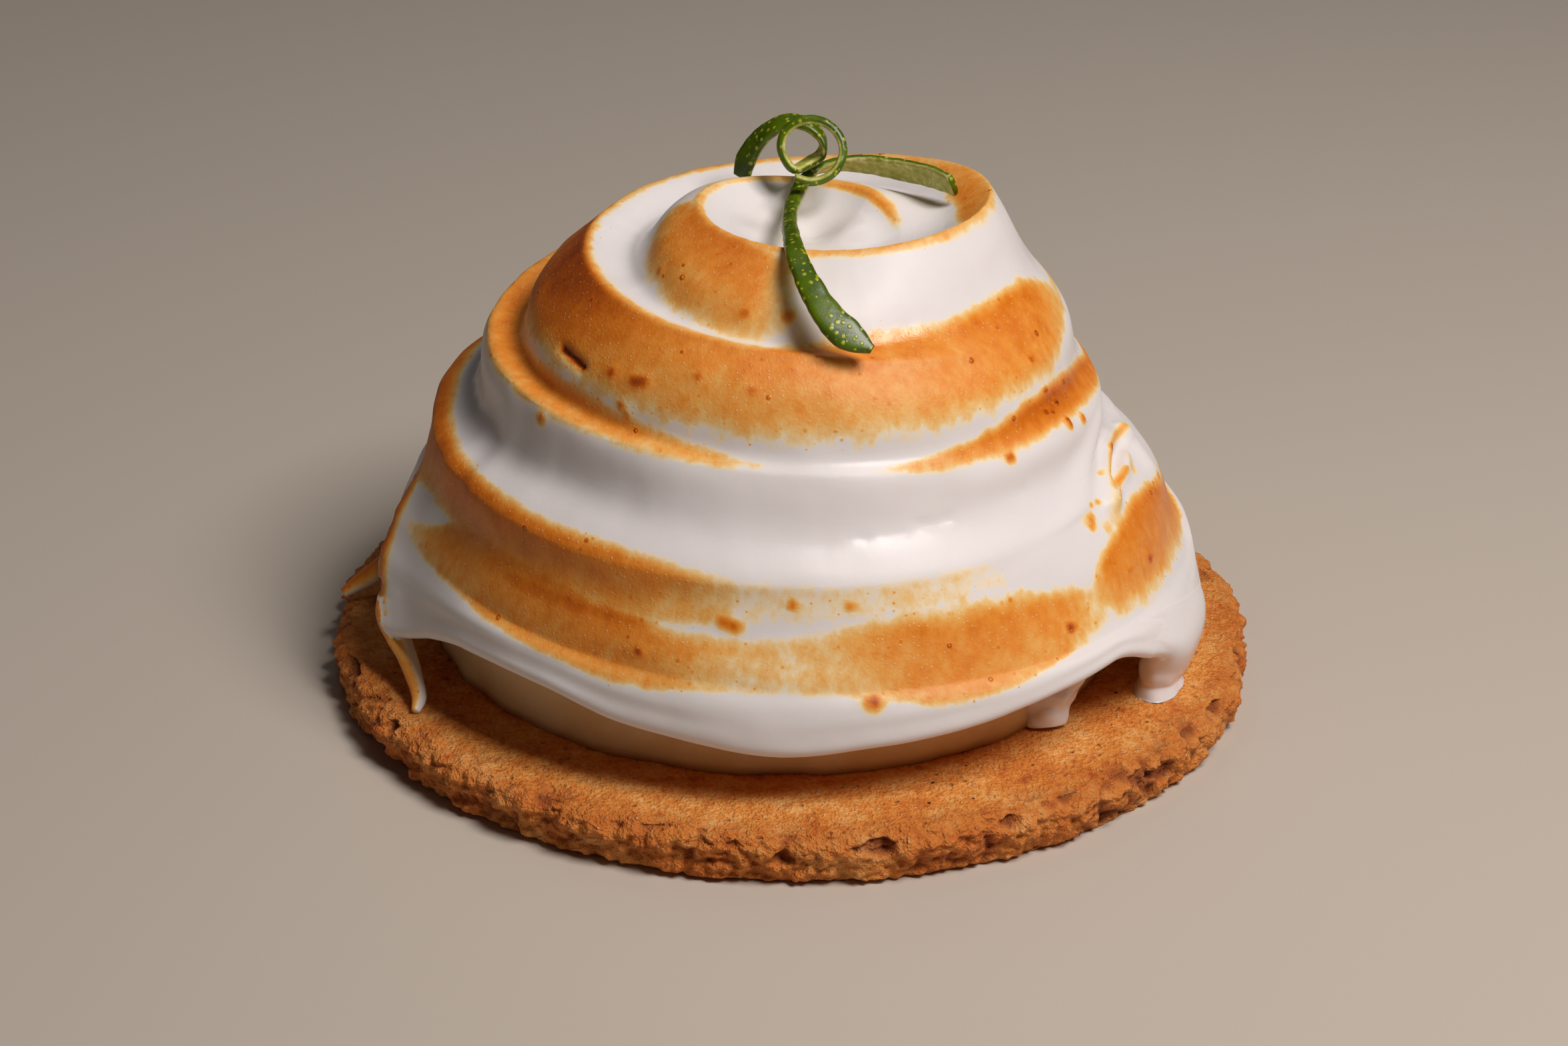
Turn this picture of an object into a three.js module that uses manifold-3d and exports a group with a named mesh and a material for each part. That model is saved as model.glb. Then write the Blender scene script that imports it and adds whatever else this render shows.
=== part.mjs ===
// A lemon dome cake: a domed lemon mousse on a round shortbread, under a coat of Italian meringue
// that was spun with a spatula and toasted, with two curls of lime peel on top.
// Millimetres, +Z up. The origin is on the table, under the middle of the shortbread.
// Azimuths are degrees seen from above, anticlockwise from +X. The front of the cake is at 270.

import * as THREE from 'three'
import { mergeVertices } from 'three/addons/utils/BufferGeometryUtils.js'
import Module from 'manifold-3d'

const wasm = await Module()
wasm.setup()

// ---------------------------------------------------------------- driving dimensions

const GAP = 0.3

const BISCUIT = { radius: 47.3, thickness: 5, crag: 0.7, sides: 96, core: 30 }

const MOUSSE = { radius: 35, x: -1.6, y: 0.4, sides: 40, rows: 7 }

// Two dabs of meringue that squeezed out at the foot of the mousse.
const DABS = [
  { x: 25.6, y: -22.2, z: 7.2, wide: 2.3, deep: 2.2, tall: 4.6, lean: 0.35 },
  { x: 15.2, y: -29.2, z: 5.2, wide: 2.4, deep: 1.6, tall: 2.2, lean: 0 },
]

// The ridge that the spatula left is one spiral. A turn is counted from the left of the cake
// (azimuth 180), and each row is a quarter turn further down. Between a ridge and the turn
// above it lies a groove: its depth, where it lies between the two, and how far the face bulges.
const FIRST_ROW = -0.75
const RIDGE = [
  { radius: 15.5, height: 47.6, groove: 0, low: 0.6, bulge: 0 },
  { radius: 8.7, height: 49.4, groove: 0, low: 0.6, bulge: 0 },
  { radius: 7.3, height: 49.5, groove: 0, low: 0.6, bulge: 0 },
  { radius: 9.6, height: 50.4, groove: 0, low: 0.6, bulge: 0 },
  { radius: 13.6, height: 50.0, groove: 0, low: 0.6, bulge: 0 },
  { radius: 18.7, height: 51.0, groove: 1.2, low: 0.5, bulge: 0 },
  { radius: 18.8, height: 47.4, groove: 2.2, low: 0.58, bulge: 0 },
  { radius: 20.9, height: 45.8, groove: 2.6, low: 0.66, bulge: 0 },
  { radius: 23.8, height: 43.6, groove: 1.3, low: 0.84, bulge: 0 },
  { radius: 26.0, height: 39.8, groove: 0.5, low: 0.55, bulge: 0 },
  { radius: 26.6, height: 39.8, groove: 1.5, low: 0.7, bulge: 0 },
  { radius: 30.5, height: 36.8, groove: 2.1, low: 0.81, bulge: 0 },
  { radius: 30.2, height: 34.3, groove: 0.5, low: 0.85, bulge: 0.9 },
  { radius: 30.2, height: 31.3, groove: 0.9, low: 0.55, bulge: 0.3 },
  { radius: 33.0, height: 30.4, groove: 1.5, low: 0.7, bulge: 0.3 },
  { radius: 36.3, height: 27.7, groove: 2.2, low: 0.55, bulge: 0 },
  { radius: 35.8, height: 25.5, groove: 0.9, low: 0.5, bulge: 0 },
  { radius: 33.4, height: 25.2, groove: 1.3, low: 0.5, bulge: 0 },
  { radius: 36.8, height: 22.6, groove: 1.2, low: 0.7, bulge: 0.3 },
  { radius: 38.6, height: 19.0, groove: 0.8, low: 0.5, bulge: 0 },
  { radius: 39.4, height: 16.8, groove: 0.4, low: 0.35, bulge: 0.1 },
  { radius: 39.6, height: 15.4, groove: 0, low: 0.5, bulge: 0.8 },
  { radius: 40.0, height: 14.8, groove: 0.8, low: 0.6, bulge: 0.3 },
  { radius: 40.2, height: 14.0, groove: 0.8, low: 0.6, bulge: 0.3 },
]
const FIRST_CREST = -0.56
const LAST_CREST = 4.8
const START_FADE = 0.14
const END_FADE = 0.3

// How far down from ridge to ridge a bulge is fullest.
const BULGE_LOW = 0.4

const CRATER = { x: 2.0, y: -3.6, floor: 45.4, steepness: 2.3, centreTurn: -1.5 }

// The hem of the meringue: azimuth and height of its lower edge.
const HEM_TURN = 5.3
const HEM_BULGE = 0.5
const HEM_LIP = 1.6
const HEM_UNDER = { inset: 3.0, rise: 0.9, contact: 2 }

// The coat keeps this far off the mousse, because both are faceted.
const COAT_GAP = 3 * GAP
const HEM = [
  [14, 11.8], [32, 12.6], [52, 11.2], [76, 10.4], [100, 11.6], [126, 10.4], [150, 12.2],
  [170, 11.4], [184, 10], [195, 8.7], [203, 8.9], [211, 10.8], [219, 12.3], [236, 12.6],
  [247, 11.2], [260, 10.1], [270, 9.7], [284, 10.6], [293, 11.5], [301, 12.5], [314, 13.6],
  [324, 13.9], [334, 13.4], [352, 12.4],
]
const HEM_RADIUS = { mean: 40.8, front: 0.5 }

// At the right the coat ran down to the shortbread. The hem sags into that drip.
const DRIP = { azimuth: 340, halfWidth: 12.5, edge: 3.5, radius: 42.3, sag: 3.2 }

// A thin fin that was pulled out at the left. It swings forward as it comes down.
const FIN = [
  { height: 27, azimuth: 187, reach: 0 },
  { height: 22, azimuth: 191, reach: 1.5 },
  { height: 17, azimuth: 194, reach: 2.2 },
  { height: 12, azimuth: 198, reach: 2.7 },
  { height: 7, azimuth: 202, reach: 3.2 },
]
const FIN_HALF_WIDTH = 3.4

// A short upright pinch at the right, where two turns of the ridge close up.
const PINCH = { top: 31, bottom: 25.5, topAzimuth: 350, bottomAzimuth: 322, reach: 0.9, halfWidth: 7 }

// Strands that hang from the hem to the shortbread: the middle of each, half its width and half
// its thickness from place to place, and the direction of its width.
const TAIL = {
  route: [
    [-38.6, -11.6, 15.5], [-39.9, -12.7, 12.6], [-40.4, -13.5, 10.9], [-40.05, -14.8, 9.4],
    [-38.9, -17.2, 7.95], [-37.4, -20.2, 6.85], [-36.4, -22.6, 6.1], [-36.2, -24.2, 5.7],
  ],
  wide: [1.0, 1.2, 1.3, 1.2, 0.9, 0.8, 0.65, 0.35],
  thin: [0.9, 0.9, 0.8, 0.7, 0.55, 0.5, 0.4, 0.3],
  across: [-0.8, -0.35, 0.3],
}
const SPUR = {
  route: [[-38.9, 3.6, 11.8], [-41.2, 2.2, 8.8], [-44.0, 0.8, 7.0], [-46.2, -0.2, 5.95]],
  wide: [2.4, 1.8, 1.3, 0.6],
  thin: [1.8, 1.2, 0.9, 0.45],
  across: [0.1, -1, 0.2],
}
const FOOT = {
  route: [
    [37.16, -12.79, 13.2], [37.75, -13.75, 10.6], [37.35, -14.5, 8.6], [36.75, -15.05, 7.0],
    [36.6, -15.2, 6.1], [36.6, -15.2, 5.35],
  ],
  wide: [9.5, 8.9, 6.6, 4.3, 3.6, 3.3],
  thin: [2.0, 2.8, 2.6, 2.3, 2.1, 2.0],
  across: [0.342, 0.94, 0],
}

// Peel: the middle of each strip, the direction of its width, and how wide it is there.
const PEEL_THICKNESS = 0.8
const PEEL_BEVEL = 0.15
const COIL = {
  x: 1.1, y: 3.0, z: 53.7, radius: 3.05, squash: 0.93, tilt: 26, from: 240, to: -122, back: 2.3, front: -0.3,
}
const CURL_TAIL = [
  { at: [-5.9, 9.9, 48.5], across: [-0.75, 0.65, 0], wide: 1.9 },
  { at: [-5.4, 9.9, 50.5], across: [-0.65, 0.75, 0], wide: 2.5 },
  { at: [-3.9, 9.7, 52.9], across: [-0.45, 0.9, 0], wide: 2.5 },
  { at: [-1.6, 9.2, 54.6], across: [-0.2, 0.95, 0.1], wide: 2.4 },
  { at: [0.6, 8.6, 54.6], across: [0, 1, 0.1], wide: 2.3 },
  { at: [2.1, 7.9, 53.3], across: [0, 1, 0], wide: 2.2 },
  { at: [1.8, 6.9, 51.95], across: [0, 1, 0], wide: 2.2 },
]
const RIBBON = [
  { at: [14.9, 0.9, 51.4], across: [-0.25, -0.35, 0.9], wide: 2.5 },
  { at: [12.9, 3.5, 51.3], across: [-0.25, -0.35, 0.9], wide: 2.8 },
  { at: [9.6, 6.2, 51.0], across: [-0.2, -0.45, 0.85], wide: 2.9 },
  { at: [5.9, 7.8, 50.9], across: [-0.1, -0.5, 0.85], wide: 2.3 },
  { at: [2.6, 7.9, 50.5], across: [0.1, -0.7, 0.7], wide: 1.8 },
  { at: [0.7, 6.4, 49.95], across: [0.7, -0.5, 0.3], wide: 1.5 },
  { at: [-0.4, 2.4, 49.4], across: [1, -0.2, 0.2], wide: 1.5 },
  { at: [-1.0, -3.7, 49.7], across: [0.9, 0, 0.45], wide: 1.5 },
  { at: [-0.85, -9.6, 50.3], across: [0.9, 0, 0.4], wide: 1.6 },
  { at: [-0.45, -15.2, 50.7], across: [0.9, 0, 0.3], wide: 1.9 },
  { at: [0.6, -19.6, 49.8], across: [0.92, 0, 0.15], wide: 2.2 },
  { at: [1.85, -21.8, 48.4], across: [0.95, 0.1, 0], wide: 2.6 },
  { at: [3.35, -23.5, 46.9], across: [0.95, 0.2, 0.05], wide: 3.0 },
  { at: [4.85, -24.2, 45.8], across: [0.95, 0.3, 0.1], wide: 3.0 },
  { at: [6.9, -24.6, 44.7], across: [0.9, 0.4, 0.1], wide: 0.9 },
]

// How fine the facets are.
const OUTER_ROWS = 29
const COLUMN_STEP = 4.4
const FINE_STEP = 1.8
const FINE_SPANS = [[184, 206], [322, 358]]
const UNDERSIDE_ROWS = 5
const TURN_STEP = (HEM_TURN - FIRST_CREST) / OUTER_ROWS
const LOW_GROOVE = 1 - 1.3 * TURN_STEP

// ---------------------------------------------------------------- small helpers

const radians = THREE.MathUtils.degToRad
const mix = THREE.MathUtils.lerp
const smooth = THREE.MathUtils.smoothstep
const vector = ([x, y, z]) => new THREE.Vector3(x, y, z)

function polar(azimuth, radius, height) {
  return new THREE.Vector3(radius * Math.cos(radians(azimuth)), radius * Math.sin(radians(azimuth)), height)
}

// A curve through four even values, at t between the middle two.
function through(a, b, c, d, t) {
  const slopeB = (c - a) / 2
  const slopeC = (d - b) / 2
  const drop = b - c
  return b + t * (slopeB + t * (-3 * drop - 2 * slopeB - slopeC + t * (2 * drop + slopeB + slopeC)))
}

// The signed angle from one azimuth to another, in degrees.
function turnFrom(start, azimuth) {
  return ((azimuth - start + 540) % 360) - 180
}

function hump(distance, halfWidth) {
  return Math.exp(-((distance / halfWidth) ** 2))
}

// A closed surface over rings of points, each ring anticlockwise as seen from the end of the list.
// Each four-sided patch is split along one diagonal, or along the other one.
function loft(rings, otherDiagonal = false) {
  const count = rings[0].length
  const positions = []
  rings.flat().forEach((p) => positions.push(p.x, p.y, p.z))
  const faces = []
  for (let row = 0; row + 1 < rings.length; row++) {
    for (let i = 0; i < count; i++) {
      const next = (i + 1) % count
      const a = row * count + i
      const b = row * count + next
      const c = (row + 1) * count + next
      const d = (row + 1) * count + i
      faces.push(...(otherDiagonal ? [a, b, d, b, c, d] : [a, b, c, a, c, d]))
    }
  }
  const capped = [[rings[0], 0, true], [rings.at(-1), (rings.length - 1) * count, false]]
  for (const [ring, first, reversed] of capped) {
    const middle = ring.reduce((sum, p) => sum.add(p), new THREE.Vector3()).divideScalar(count)
    const centre = positions.length / 3
    positions.push(middle.x, middle.y, middle.z)
    for (let i = 0; i < count; i++) {
      const here = first + i
      const next = first + ((i + 1) % count)
      faces.push(...(reversed ? [centre, next, here] : [centre, here, next]))
    }
  }
  const geometry = new THREE.BufferGeometry()
  geometry.setAttribute('position', new THREE.Float32BufferAttribute(positions, 3))
  geometry.setIndex(faces)
  return geometry
}

function toSolid(geometry) {
  const bare = geometry.clone()
  bare.deleteAttribute('normal')
  bare.deleteAttribute('uv')
  const merged = mergeVertices(bare, 1e-4)
  const vertProperties = new Float32Array(merged.attributes.position.array)
  const triVerts = new Uint32Array(merged.index.array)
  return new wasm.Manifold(new wasm.Mesh({ numProp: 3, vertProperties, triVerts }))
}

function fused(geometries) {
  const joined = geometries.map(toSolid).reduce((sum, solid) => sum.add(solid))
  const mesh = joined.getMesh()
  const geometry = new THREE.BufferGeometry()
  geometry.setAttribute('position', new THREE.BufferAttribute(new Float32Array(mesh.vertProperties), 3))
  geometry.setIndex(new THREE.BufferAttribute(new Uint32Array(mesh.triVerts), 1))
  return geometry
}

// A strand along a smooth route, with oval sections that change from place to place.
function strand({ route, wide, thin, across }, sides = 8, steps = 10) {
  const curve = new THREE.CatmullRomCurve3(route.map(vector))
  const rings = []
  for (let step = 0; step <= steps; step++) {
    const place = (step / steps) * (wide.length - 1)
    const before = Math.min(Math.floor(place), wide.length - 2)
    const halfWide = mix(wide[before], wide[before + 1], place - before)
    const halfThin = mix(thin[before], thin[before + 1], place - before)
    const centre = curve.getPoint(step / steps)
    const ahead = curve.getTangent(step / steps)
    const side = vector(across)
    side.addScaledVector(ahead, -side.dot(ahead)).normalize()
    const face = new THREE.Vector3().crossVectors(ahead, side)
    rings.push(Array.from({ length: sides }, (_, i) => {
      const angle = (i / sides) * 2 * Math.PI
      return centre.clone()
        .addScaledVector(side, halfWide * Math.cos(angle))
        .addScaledVector(face, halfThin * Math.sin(angle))
    }))
  }
  return loft(rings)
}

// ---------------------------------------------------------------- shortbread

// The broken edge: a slow wave and a seeded draw for each corner, from -1 to 1.
function crag(column, level) {
  const a = (column / BISCUIT.sides) * 2 * Math.PI
  const wave = Math.sin(7 * a + 0.4 * level) + Math.sin(11 * a - 0.3 * level + 2)
  const draw = Math.sin(column * 127.1 + level * 311.7) * 43758.5453
  return 0.25 * wave + 0.5 * (2 * (draw - Math.floor(draw)) - 1)
}

function biscuit() {
  const { radius, thickness, sides, core } = BISCUIT
  const profile = [
    { inset: radius - core, height: 0, rough: 0 },
    { inset: 1.6, height: 0, rough: 0.4 },
    { inset: 0.4, height: 0.9, rough: 1 },
    { inset: 0, height: 2.2, rough: 1 },
    { inset: 0.1, height: 3.6, rough: 1 },
    { inset: 0.9, height: 4.6, rough: 0.9 },
    { inset: 2.4, height: thickness, rough: 0.4 },
    { inset: radius - core, height: thickness, rough: 0 },
  ]
  const rings = profile.map(({ inset, height, rough }) => Array.from({ length: sides }, (_, i) => {
    const reach = radius - inset + rough * BISCUIT.crag * crag(i, height)
    return polar((i / sides) * 360, reach, height)
  }))
  const geometry = loft(rings)
  geometry.computeBoundingBox()
  const middle = geometry.boundingBox.getCenter(new THREE.Vector3())
  return geometry.translate(-middle.x, -middle.y, 0)
}

// ---------------------------------------------------------------- lemon mousse

// A point of the moulded dome, or of a shell around it, by its angle above the base.
function domePoint(azimuth, rise, clearance = 0) {
  const radius = MOUSSE.radius + clearance
  const point = polar(azimuth, radius * Math.cos(radians(rise)), radius * Math.sin(radians(rise)))
  return point.add(new THREE.Vector3(MOUSSE.x, MOUSSE.y, BISCUIT.thickness))
}

function dome() {
  const rings = Array.from({ length: MOUSSE.rows }, (_, row) => {
    const rise = (row / MOUSSE.rows) * 90
    return Array.from({ length: MOUSSE.sides }, (_, i) => domePoint((i / MOUSSE.sides) * 360, rise))
  })
  return loft(rings)
}

// A dab stands on the shortbread and leans on the mousse.
function dab({ x, y, z, wide, deep, tall, lean }) {
  const geometry = new THREE.SphereGeometry(1, 10, 8)
  geometry.scale(wide, deep, tall)
  const places = geometry.attributes.position
  const floor = BISCUIT.thickness - z
  for (let i = 0; i < places.count; i++) {
    const height = Math.max(places.getZ(i), floor)
    places.setXYZ(i, places.getX(i) + lean * height, places.getY(i) + lean * height, height)
  }
  return geometry.translate(x, y, z)
}

function mousse() {
  return fused([dome(), ...DABS.map(dab)])
}

// ---------------------------------------------------------------- meringue

// One value of the spiral ridge at any turn.
function ridge(name, turn) {
  const place = (turn - FIRST_ROW) * 4
  const row = Math.min(Math.max(Math.floor(place), 0), RIDGE.length - 2)
  const value = (index) => RIDGE[Math.min(Math.max(index, 0), RIDGE.length - 1)][name]
  return through(value(row - 1), value(row), value(row + 1), value(row + 2), place - row)
}

function hemHeight(azimuth) {
  const after = HEM.findIndex(([edge]) => edge > azimuth)
  const next = after < 0 ? HEM.length : after
  const entry = (index) => {
    const lap = Math.floor(index / HEM.length)
    const [edge, height] = HEM[index - lap * HEM.length]
    return { edge: edge + 360 * lap, height }
  }
  const [a, b, c, d] = [next - 2, next - 1, next, next + 1].map(entry)
  return through(a.height, b.height, c.height, d.height, (azimuth - b.edge) / (c.edge - b.edge))
}

// Radius and height of the hem's outer edge.
function hem(azimuth) {
  const off = Math.abs(turnFrom(DRIP.azimuth, azimuth))
  const share = 1 - smooth(off, DRIP.halfWidth - DRIP.edge, DRIP.halfWidth + DRIP.edge)
  const radius = HEM_RADIUS.mean - HEM_RADIUS.front * Math.sin(radians(azimuth))
  return { radius: mix(radius, DRIP.radius, share), height: hemHeight(azimuth) - DRIP.sag * share }
}

// A smooth rise and fall from 0 to 1, with its top at one place between them.
function wave(share, top) {
  return Math.sin(Math.PI * share ** (Math.log(0.5) / Math.log(top))) ** 2
}

// A point between two places of the profile, set in by the groove and out by the bulge.
function between(upper, lower, share, { groove, low, bulge }) {
  const across = lower.radius - upper.radius
  const down = lower.height - upper.height
  const length = Math.hypot(across, down)
  const out = bulge * wave(share, BULGE_LOW) - groove * wave(share, low)
  return {
    radius: mix(upper.radius, lower.radius, share) - (down / length) * out,
    height: mix(upper.height, lower.height, share) + (across / length) * out,
  }
}

const crest = (turn) => ({ radius: ridge('radius', turn), height: ridge('height', turn) })

// The profile at one azimuth, from its first ridge to its last and on to the hem.
function profile(azimuth, turn, first, last) {
  if (turn < first) {
    const share = (turn - CRATER.centreTurn) / (first - CRATER.centreTurn)
    const rim = crest(first)
    const edge = polar(azimuth, rim.radius, 0)
    const x = mix(CRATER.x, edge.x, share)
    const y = mix(CRATER.y, edge.y, share)
    return new THREE.Vector3(x, y, mix(CRATER.floor, rim.height, share ** CRATER.steepness))
  }
  if (turn > last) {
    const share = (turn - last) / (HEM_TURN - last)
    const { radius, height } = hem(azimuth)
    const shape = { groove: 0, low: 0.5, bulge: HEM_BULGE }
    const place = between(crest(last), { radius, height: height + HEM_LIP }, share, shape)
    return polar(azimuth, place.radius, place.height)
  }
  const upper = first + Math.min(Math.floor(turn - first + 1e-9), Math.round(last - first) - 1)
  const lower = upper + 1
  const shape = { groove: ridge('groove', lower), low: ridge('low', lower), bulge: ridge('bulge', lower) }
  const place = between(crest(upper), crest(lower), Math.min(Math.max(turn - upper, 0), 1), shape)
  return polar(azimuth, place.radius, place.height)
}

// The spiral starts and ends gently: there the profile runs into the one without that ridge.
function spun(azimuth, turn) {
  const phase = azimuth / 360 - 0.5
  const first = phase + Math.ceil(FIRST_CREST - phase)
  const last = phase + Math.floor(LAST_CREST - phase)
  const start = smooth(first, FIRST_CREST, FIRST_CREST + START_FADE)
  const end = 1 - smooth(last, LAST_CREST - END_FADE, LAST_CREST)
  const point = profile(azimuth, turn, first, last)
  if (turn < first + 1 && start < 1) {
    return profile(azimuth, turn, first + 1, last).lerp(point, start)
  }
  if (turn > last - 1 && end < 1) {
    return profile(azimuth, turn, first, last - 1).lerp(point, end)
  }
  return point
}

function finReach(azimuth, height) {
  const index = FIN.findIndex((place) => place.height <= height)
  if (index === 0) return 0
  const below = index < 0 ? FIN.at(-1) : FIN[index]
  const above = index < 0 ? FIN.at(-2) : FIN[index - 1]
  const share = Math.min((above.height - height) / (above.height - below.height), 1)
  const line = mix(above.azimuth, below.azimuth, share)
  return mix(above.reach, below.reach, share) * hump(turnFrom(line, azimuth), FIN_HALF_WIDTH)
}

function pinchReach(azimuth, height) {
  const share = (PINCH.top - height) / (PINCH.top - PINCH.bottom)
  if (share <= 0 || share >= 1) return 0
  const line = mix(PINCH.topAzimuth, PINCH.bottomAzimuth, share)
  return PINCH.reach * Math.sin(Math.PI * share) * hump(turnFrom(line, azimuth), PINCH.halfWidth)
}

function meringueSurface(azimuth, turn) {
  const point = spun(azimuth, turn)
  const out = finReach(azimuth, point.z) + pinchReach(azimuth, point.z)
  return point.add(polar(azimuth, out, 0))
}

// Columns stand closer together where the fin and the drip are.
function columns() {
  const list = []
  let azimuth = 0
  while (azimuth < 359) {
    list.push(azimuth)
    const fine = FINE_SPANS.some(([from, to]) => azimuth >= from && azimuth < to)
    azimuth += fine ? FINE_STEP : COLUMN_STEP
  }
  return list
}

// A row that passes near the ridge is moved onto it, and one near the bottom of a groove into
// that, so that the crests and grooves stay sharp.
function snapped(azimuth, turn) {
  const phase = azimuth / 360 - 0.5
  const offCrest = (place) => place - phase - Math.round(place - phase)
  const half = TURN_STEP / 2
  if (Math.abs(offCrest(turn)) < half) return turn - offCrest(turn)
  const lower = phase + Math.ceil(turn - phase)
  const low = ridge('low', lower)
  const bottom = lower - 1 + low
  const nextIsCrest = Math.abs(offCrest(turn + TURN_STEP)) < half
  const near = low > LOW_GROOVE ? nextIsCrest : Math.abs(turn - bottom) < half
  return near && lower > FIRST_CREST + 1 ? bottom : turn
}

function meringueRows() {
  const rows = []
  const bowlStep = 2 * TURN_STEP
  for (let turn = CRATER.centreTurn + bowlStep; turn < FIRST_CREST; turn += bowlStep) rows.push(turn)
  for (let row = 0; row <= OUTER_ROWS; row++) rows.push(mix(FIRST_CREST, HEM_TURN, row / OUTER_ROWS))
  return rows
}

// From the hem's lip in to the mousse, then up over it, a hair's breadth clear.
function underside(azimuths) {
  const lip = azimuths.map((azimuth) => {
    const { radius, height } = hem(azimuth)
    return polar(azimuth, radius - HEM_LIP, height).add(polar(azimuth, finReach(azimuth, height), 0))
  })
  const inner = azimuths.map((azimuth) => {
    const { radius, height } = hem(azimuth)
    return polar(azimuth, radius - HEM_UNDER.inset, height + HEM_UNDER.rise)
  })
  const contact = azimuths.map((azimuth) => {
    const rise = Math.asin((hemHeight(azimuth) + HEM_UNDER.contact - BISCUIT.thickness) / MOUSSE.radius)
    return { azimuth, rise: THREE.MathUtils.radToDeg(rise) }
  })
  const over = Array.from({ length: UNDERSIDE_ROWS }, (_, row) => (
    contact.map(({ azimuth, rise }) => domePoint(azimuth, mix(rise, 90, row / UNDERSIDE_ROWS), COAT_GAP))
  ))
  return [lip, inner, ...over]
}

function meringue() {
  const azimuths = columns()
  const last = HEM_TURN - TURN_STEP / 2
  const outside = meringueRows().map((turn) => azimuths.map((azimuth) => (
    meringueSurface(azimuth, turn > FIRST_CREST && turn < last ? snapped(azimuth, turn) : turn)
  )))
  const rings = [...outside, ...underside(azimuths)]
  return fused([loft(rings.reverse(), true), strand(TAIL), strand(SPUR), strand(FOOT, 16)])
}

// ---------------------------------------------------------------- lime peel

// A flat strip with softened edges, lofted along the middle line.
function peelStrip(places) {
  const line = new THREE.CatmullRomCurve3(places.map(({ at }) => vector(at)), false, 'centripetal')
  const steps = (places.length - 1) * 3
  const rings = []
  for (let step = 0; step <= steps; step++) {
    const share = (step / steps) * (places.length - 1)
    const before = Math.min(Math.floor(share), places.length - 2)
    const from = places[before]
    const to = places[before + 1]
    const centre = line.getPoint(step / steps)
    const along = line.getTangent(step / steps)
    const across = vector(from.across).lerp(vector(to.across), share - before)
    across.addScaledVector(along, -across.dot(along)).normalize()
    const face = new THREE.Vector3().crossVectors(along, across)
    const half = mix(from.wide, to.wide, share - before) / 2
    const thick = PEEL_THICKNESS / 2
    const flat = half - PEEL_BEVEL
    const corners = [[half, 0], [flat, thick], [-flat, thick], [-half, 0], [-flat, -thick], [flat, -thick]]
    rings.push(corners.map(([side, up]) => (
      centre.clone().addScaledVector(across, side).addScaledVector(face, up)
    )))
  }
  return loft(rings)
}

// The coil is a helix that comes forward, seen end on from the front and a little above.
function coilPlaces(count = 13) {
  return Array.from({ length: count }, (_, i) => {
    const share = i / (count - 1)
    const angle = radians(mix(COIL.from, COIL.to, share))
    const up = COIL.radius * COIL.squash * Math.sin(angle)
    const x = COIL.x + COIL.radius * Math.cos(angle)
    const y = COIL.y + mix(COIL.back, COIL.front, share) + up * Math.sin(radians(COIL.tilt))
    const z = COIL.z + up * Math.cos(radians(COIL.tilt))
    return { at: [x, y, z], across: [0, 1, -0.25], wide: mix(2.1, 1.3, share) }
  })
}

// ---------------------------------------------------------------- the cake

function piece(name, geometry, color, roughness) {
  const mesh = new THREE.Mesh(geometry, new THREE.MeshStandardMaterial({ color, roughness, metalness: 0 }))
  mesh.name = name
  return mesh
}

const cake = new THREE.Group()
cake.add(piece('biscuit', biscuit(), 0xc58a4c, 0.9))
cake.add(piece('lemon_mousse', mousse(), 0xefe0bf, 0.6))
cake.add(piece('meringue', meringue(), 0xefe9e6, 0.45))
cake.add(piece('lime_curl', peelStrip([...CURL_TAIL, ...coilPlaces()]), 0x3f6d14, 0.4))
cake.add(piece('lime_ribbon', peelStrip(RIBBON), 0x3f6d14, 0.4))

export default cake
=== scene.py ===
"""The looks of a lemon dome cake: a lemon mousse dome on a shortbread, in spun, toasted meringue.

Lengths are millimetres until a mesh is made, which is in metres. Azimuths are degrees seen from
above, anticlockwise from +X, so the front of the cake is at 270.
"""

import math

import bmesh
import bpy
import numpy as np
from mathutils import Matrix, Vector, noise


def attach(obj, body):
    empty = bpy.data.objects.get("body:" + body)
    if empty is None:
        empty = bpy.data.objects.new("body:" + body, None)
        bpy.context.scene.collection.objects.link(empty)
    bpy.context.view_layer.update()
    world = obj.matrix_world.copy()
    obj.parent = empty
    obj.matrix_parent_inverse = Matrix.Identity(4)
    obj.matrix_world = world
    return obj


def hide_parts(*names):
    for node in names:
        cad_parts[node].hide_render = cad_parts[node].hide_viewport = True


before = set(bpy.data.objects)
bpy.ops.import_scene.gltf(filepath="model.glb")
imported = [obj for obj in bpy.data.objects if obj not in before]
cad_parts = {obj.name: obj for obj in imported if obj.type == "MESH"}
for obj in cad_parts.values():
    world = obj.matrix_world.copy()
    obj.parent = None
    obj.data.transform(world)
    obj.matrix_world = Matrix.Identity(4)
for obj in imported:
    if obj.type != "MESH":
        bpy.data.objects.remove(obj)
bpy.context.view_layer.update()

MM = 0.001
WELD = 1e-6
BODY = "root"

# ----------------driving dimensions

BISCUIT = {"radius": 46.9, "reach": 47.45, "thickness": 5.0}
MOUSSE = {"radius": 35.0, "at": (-1.6, 0.4, 0.0)}

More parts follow.
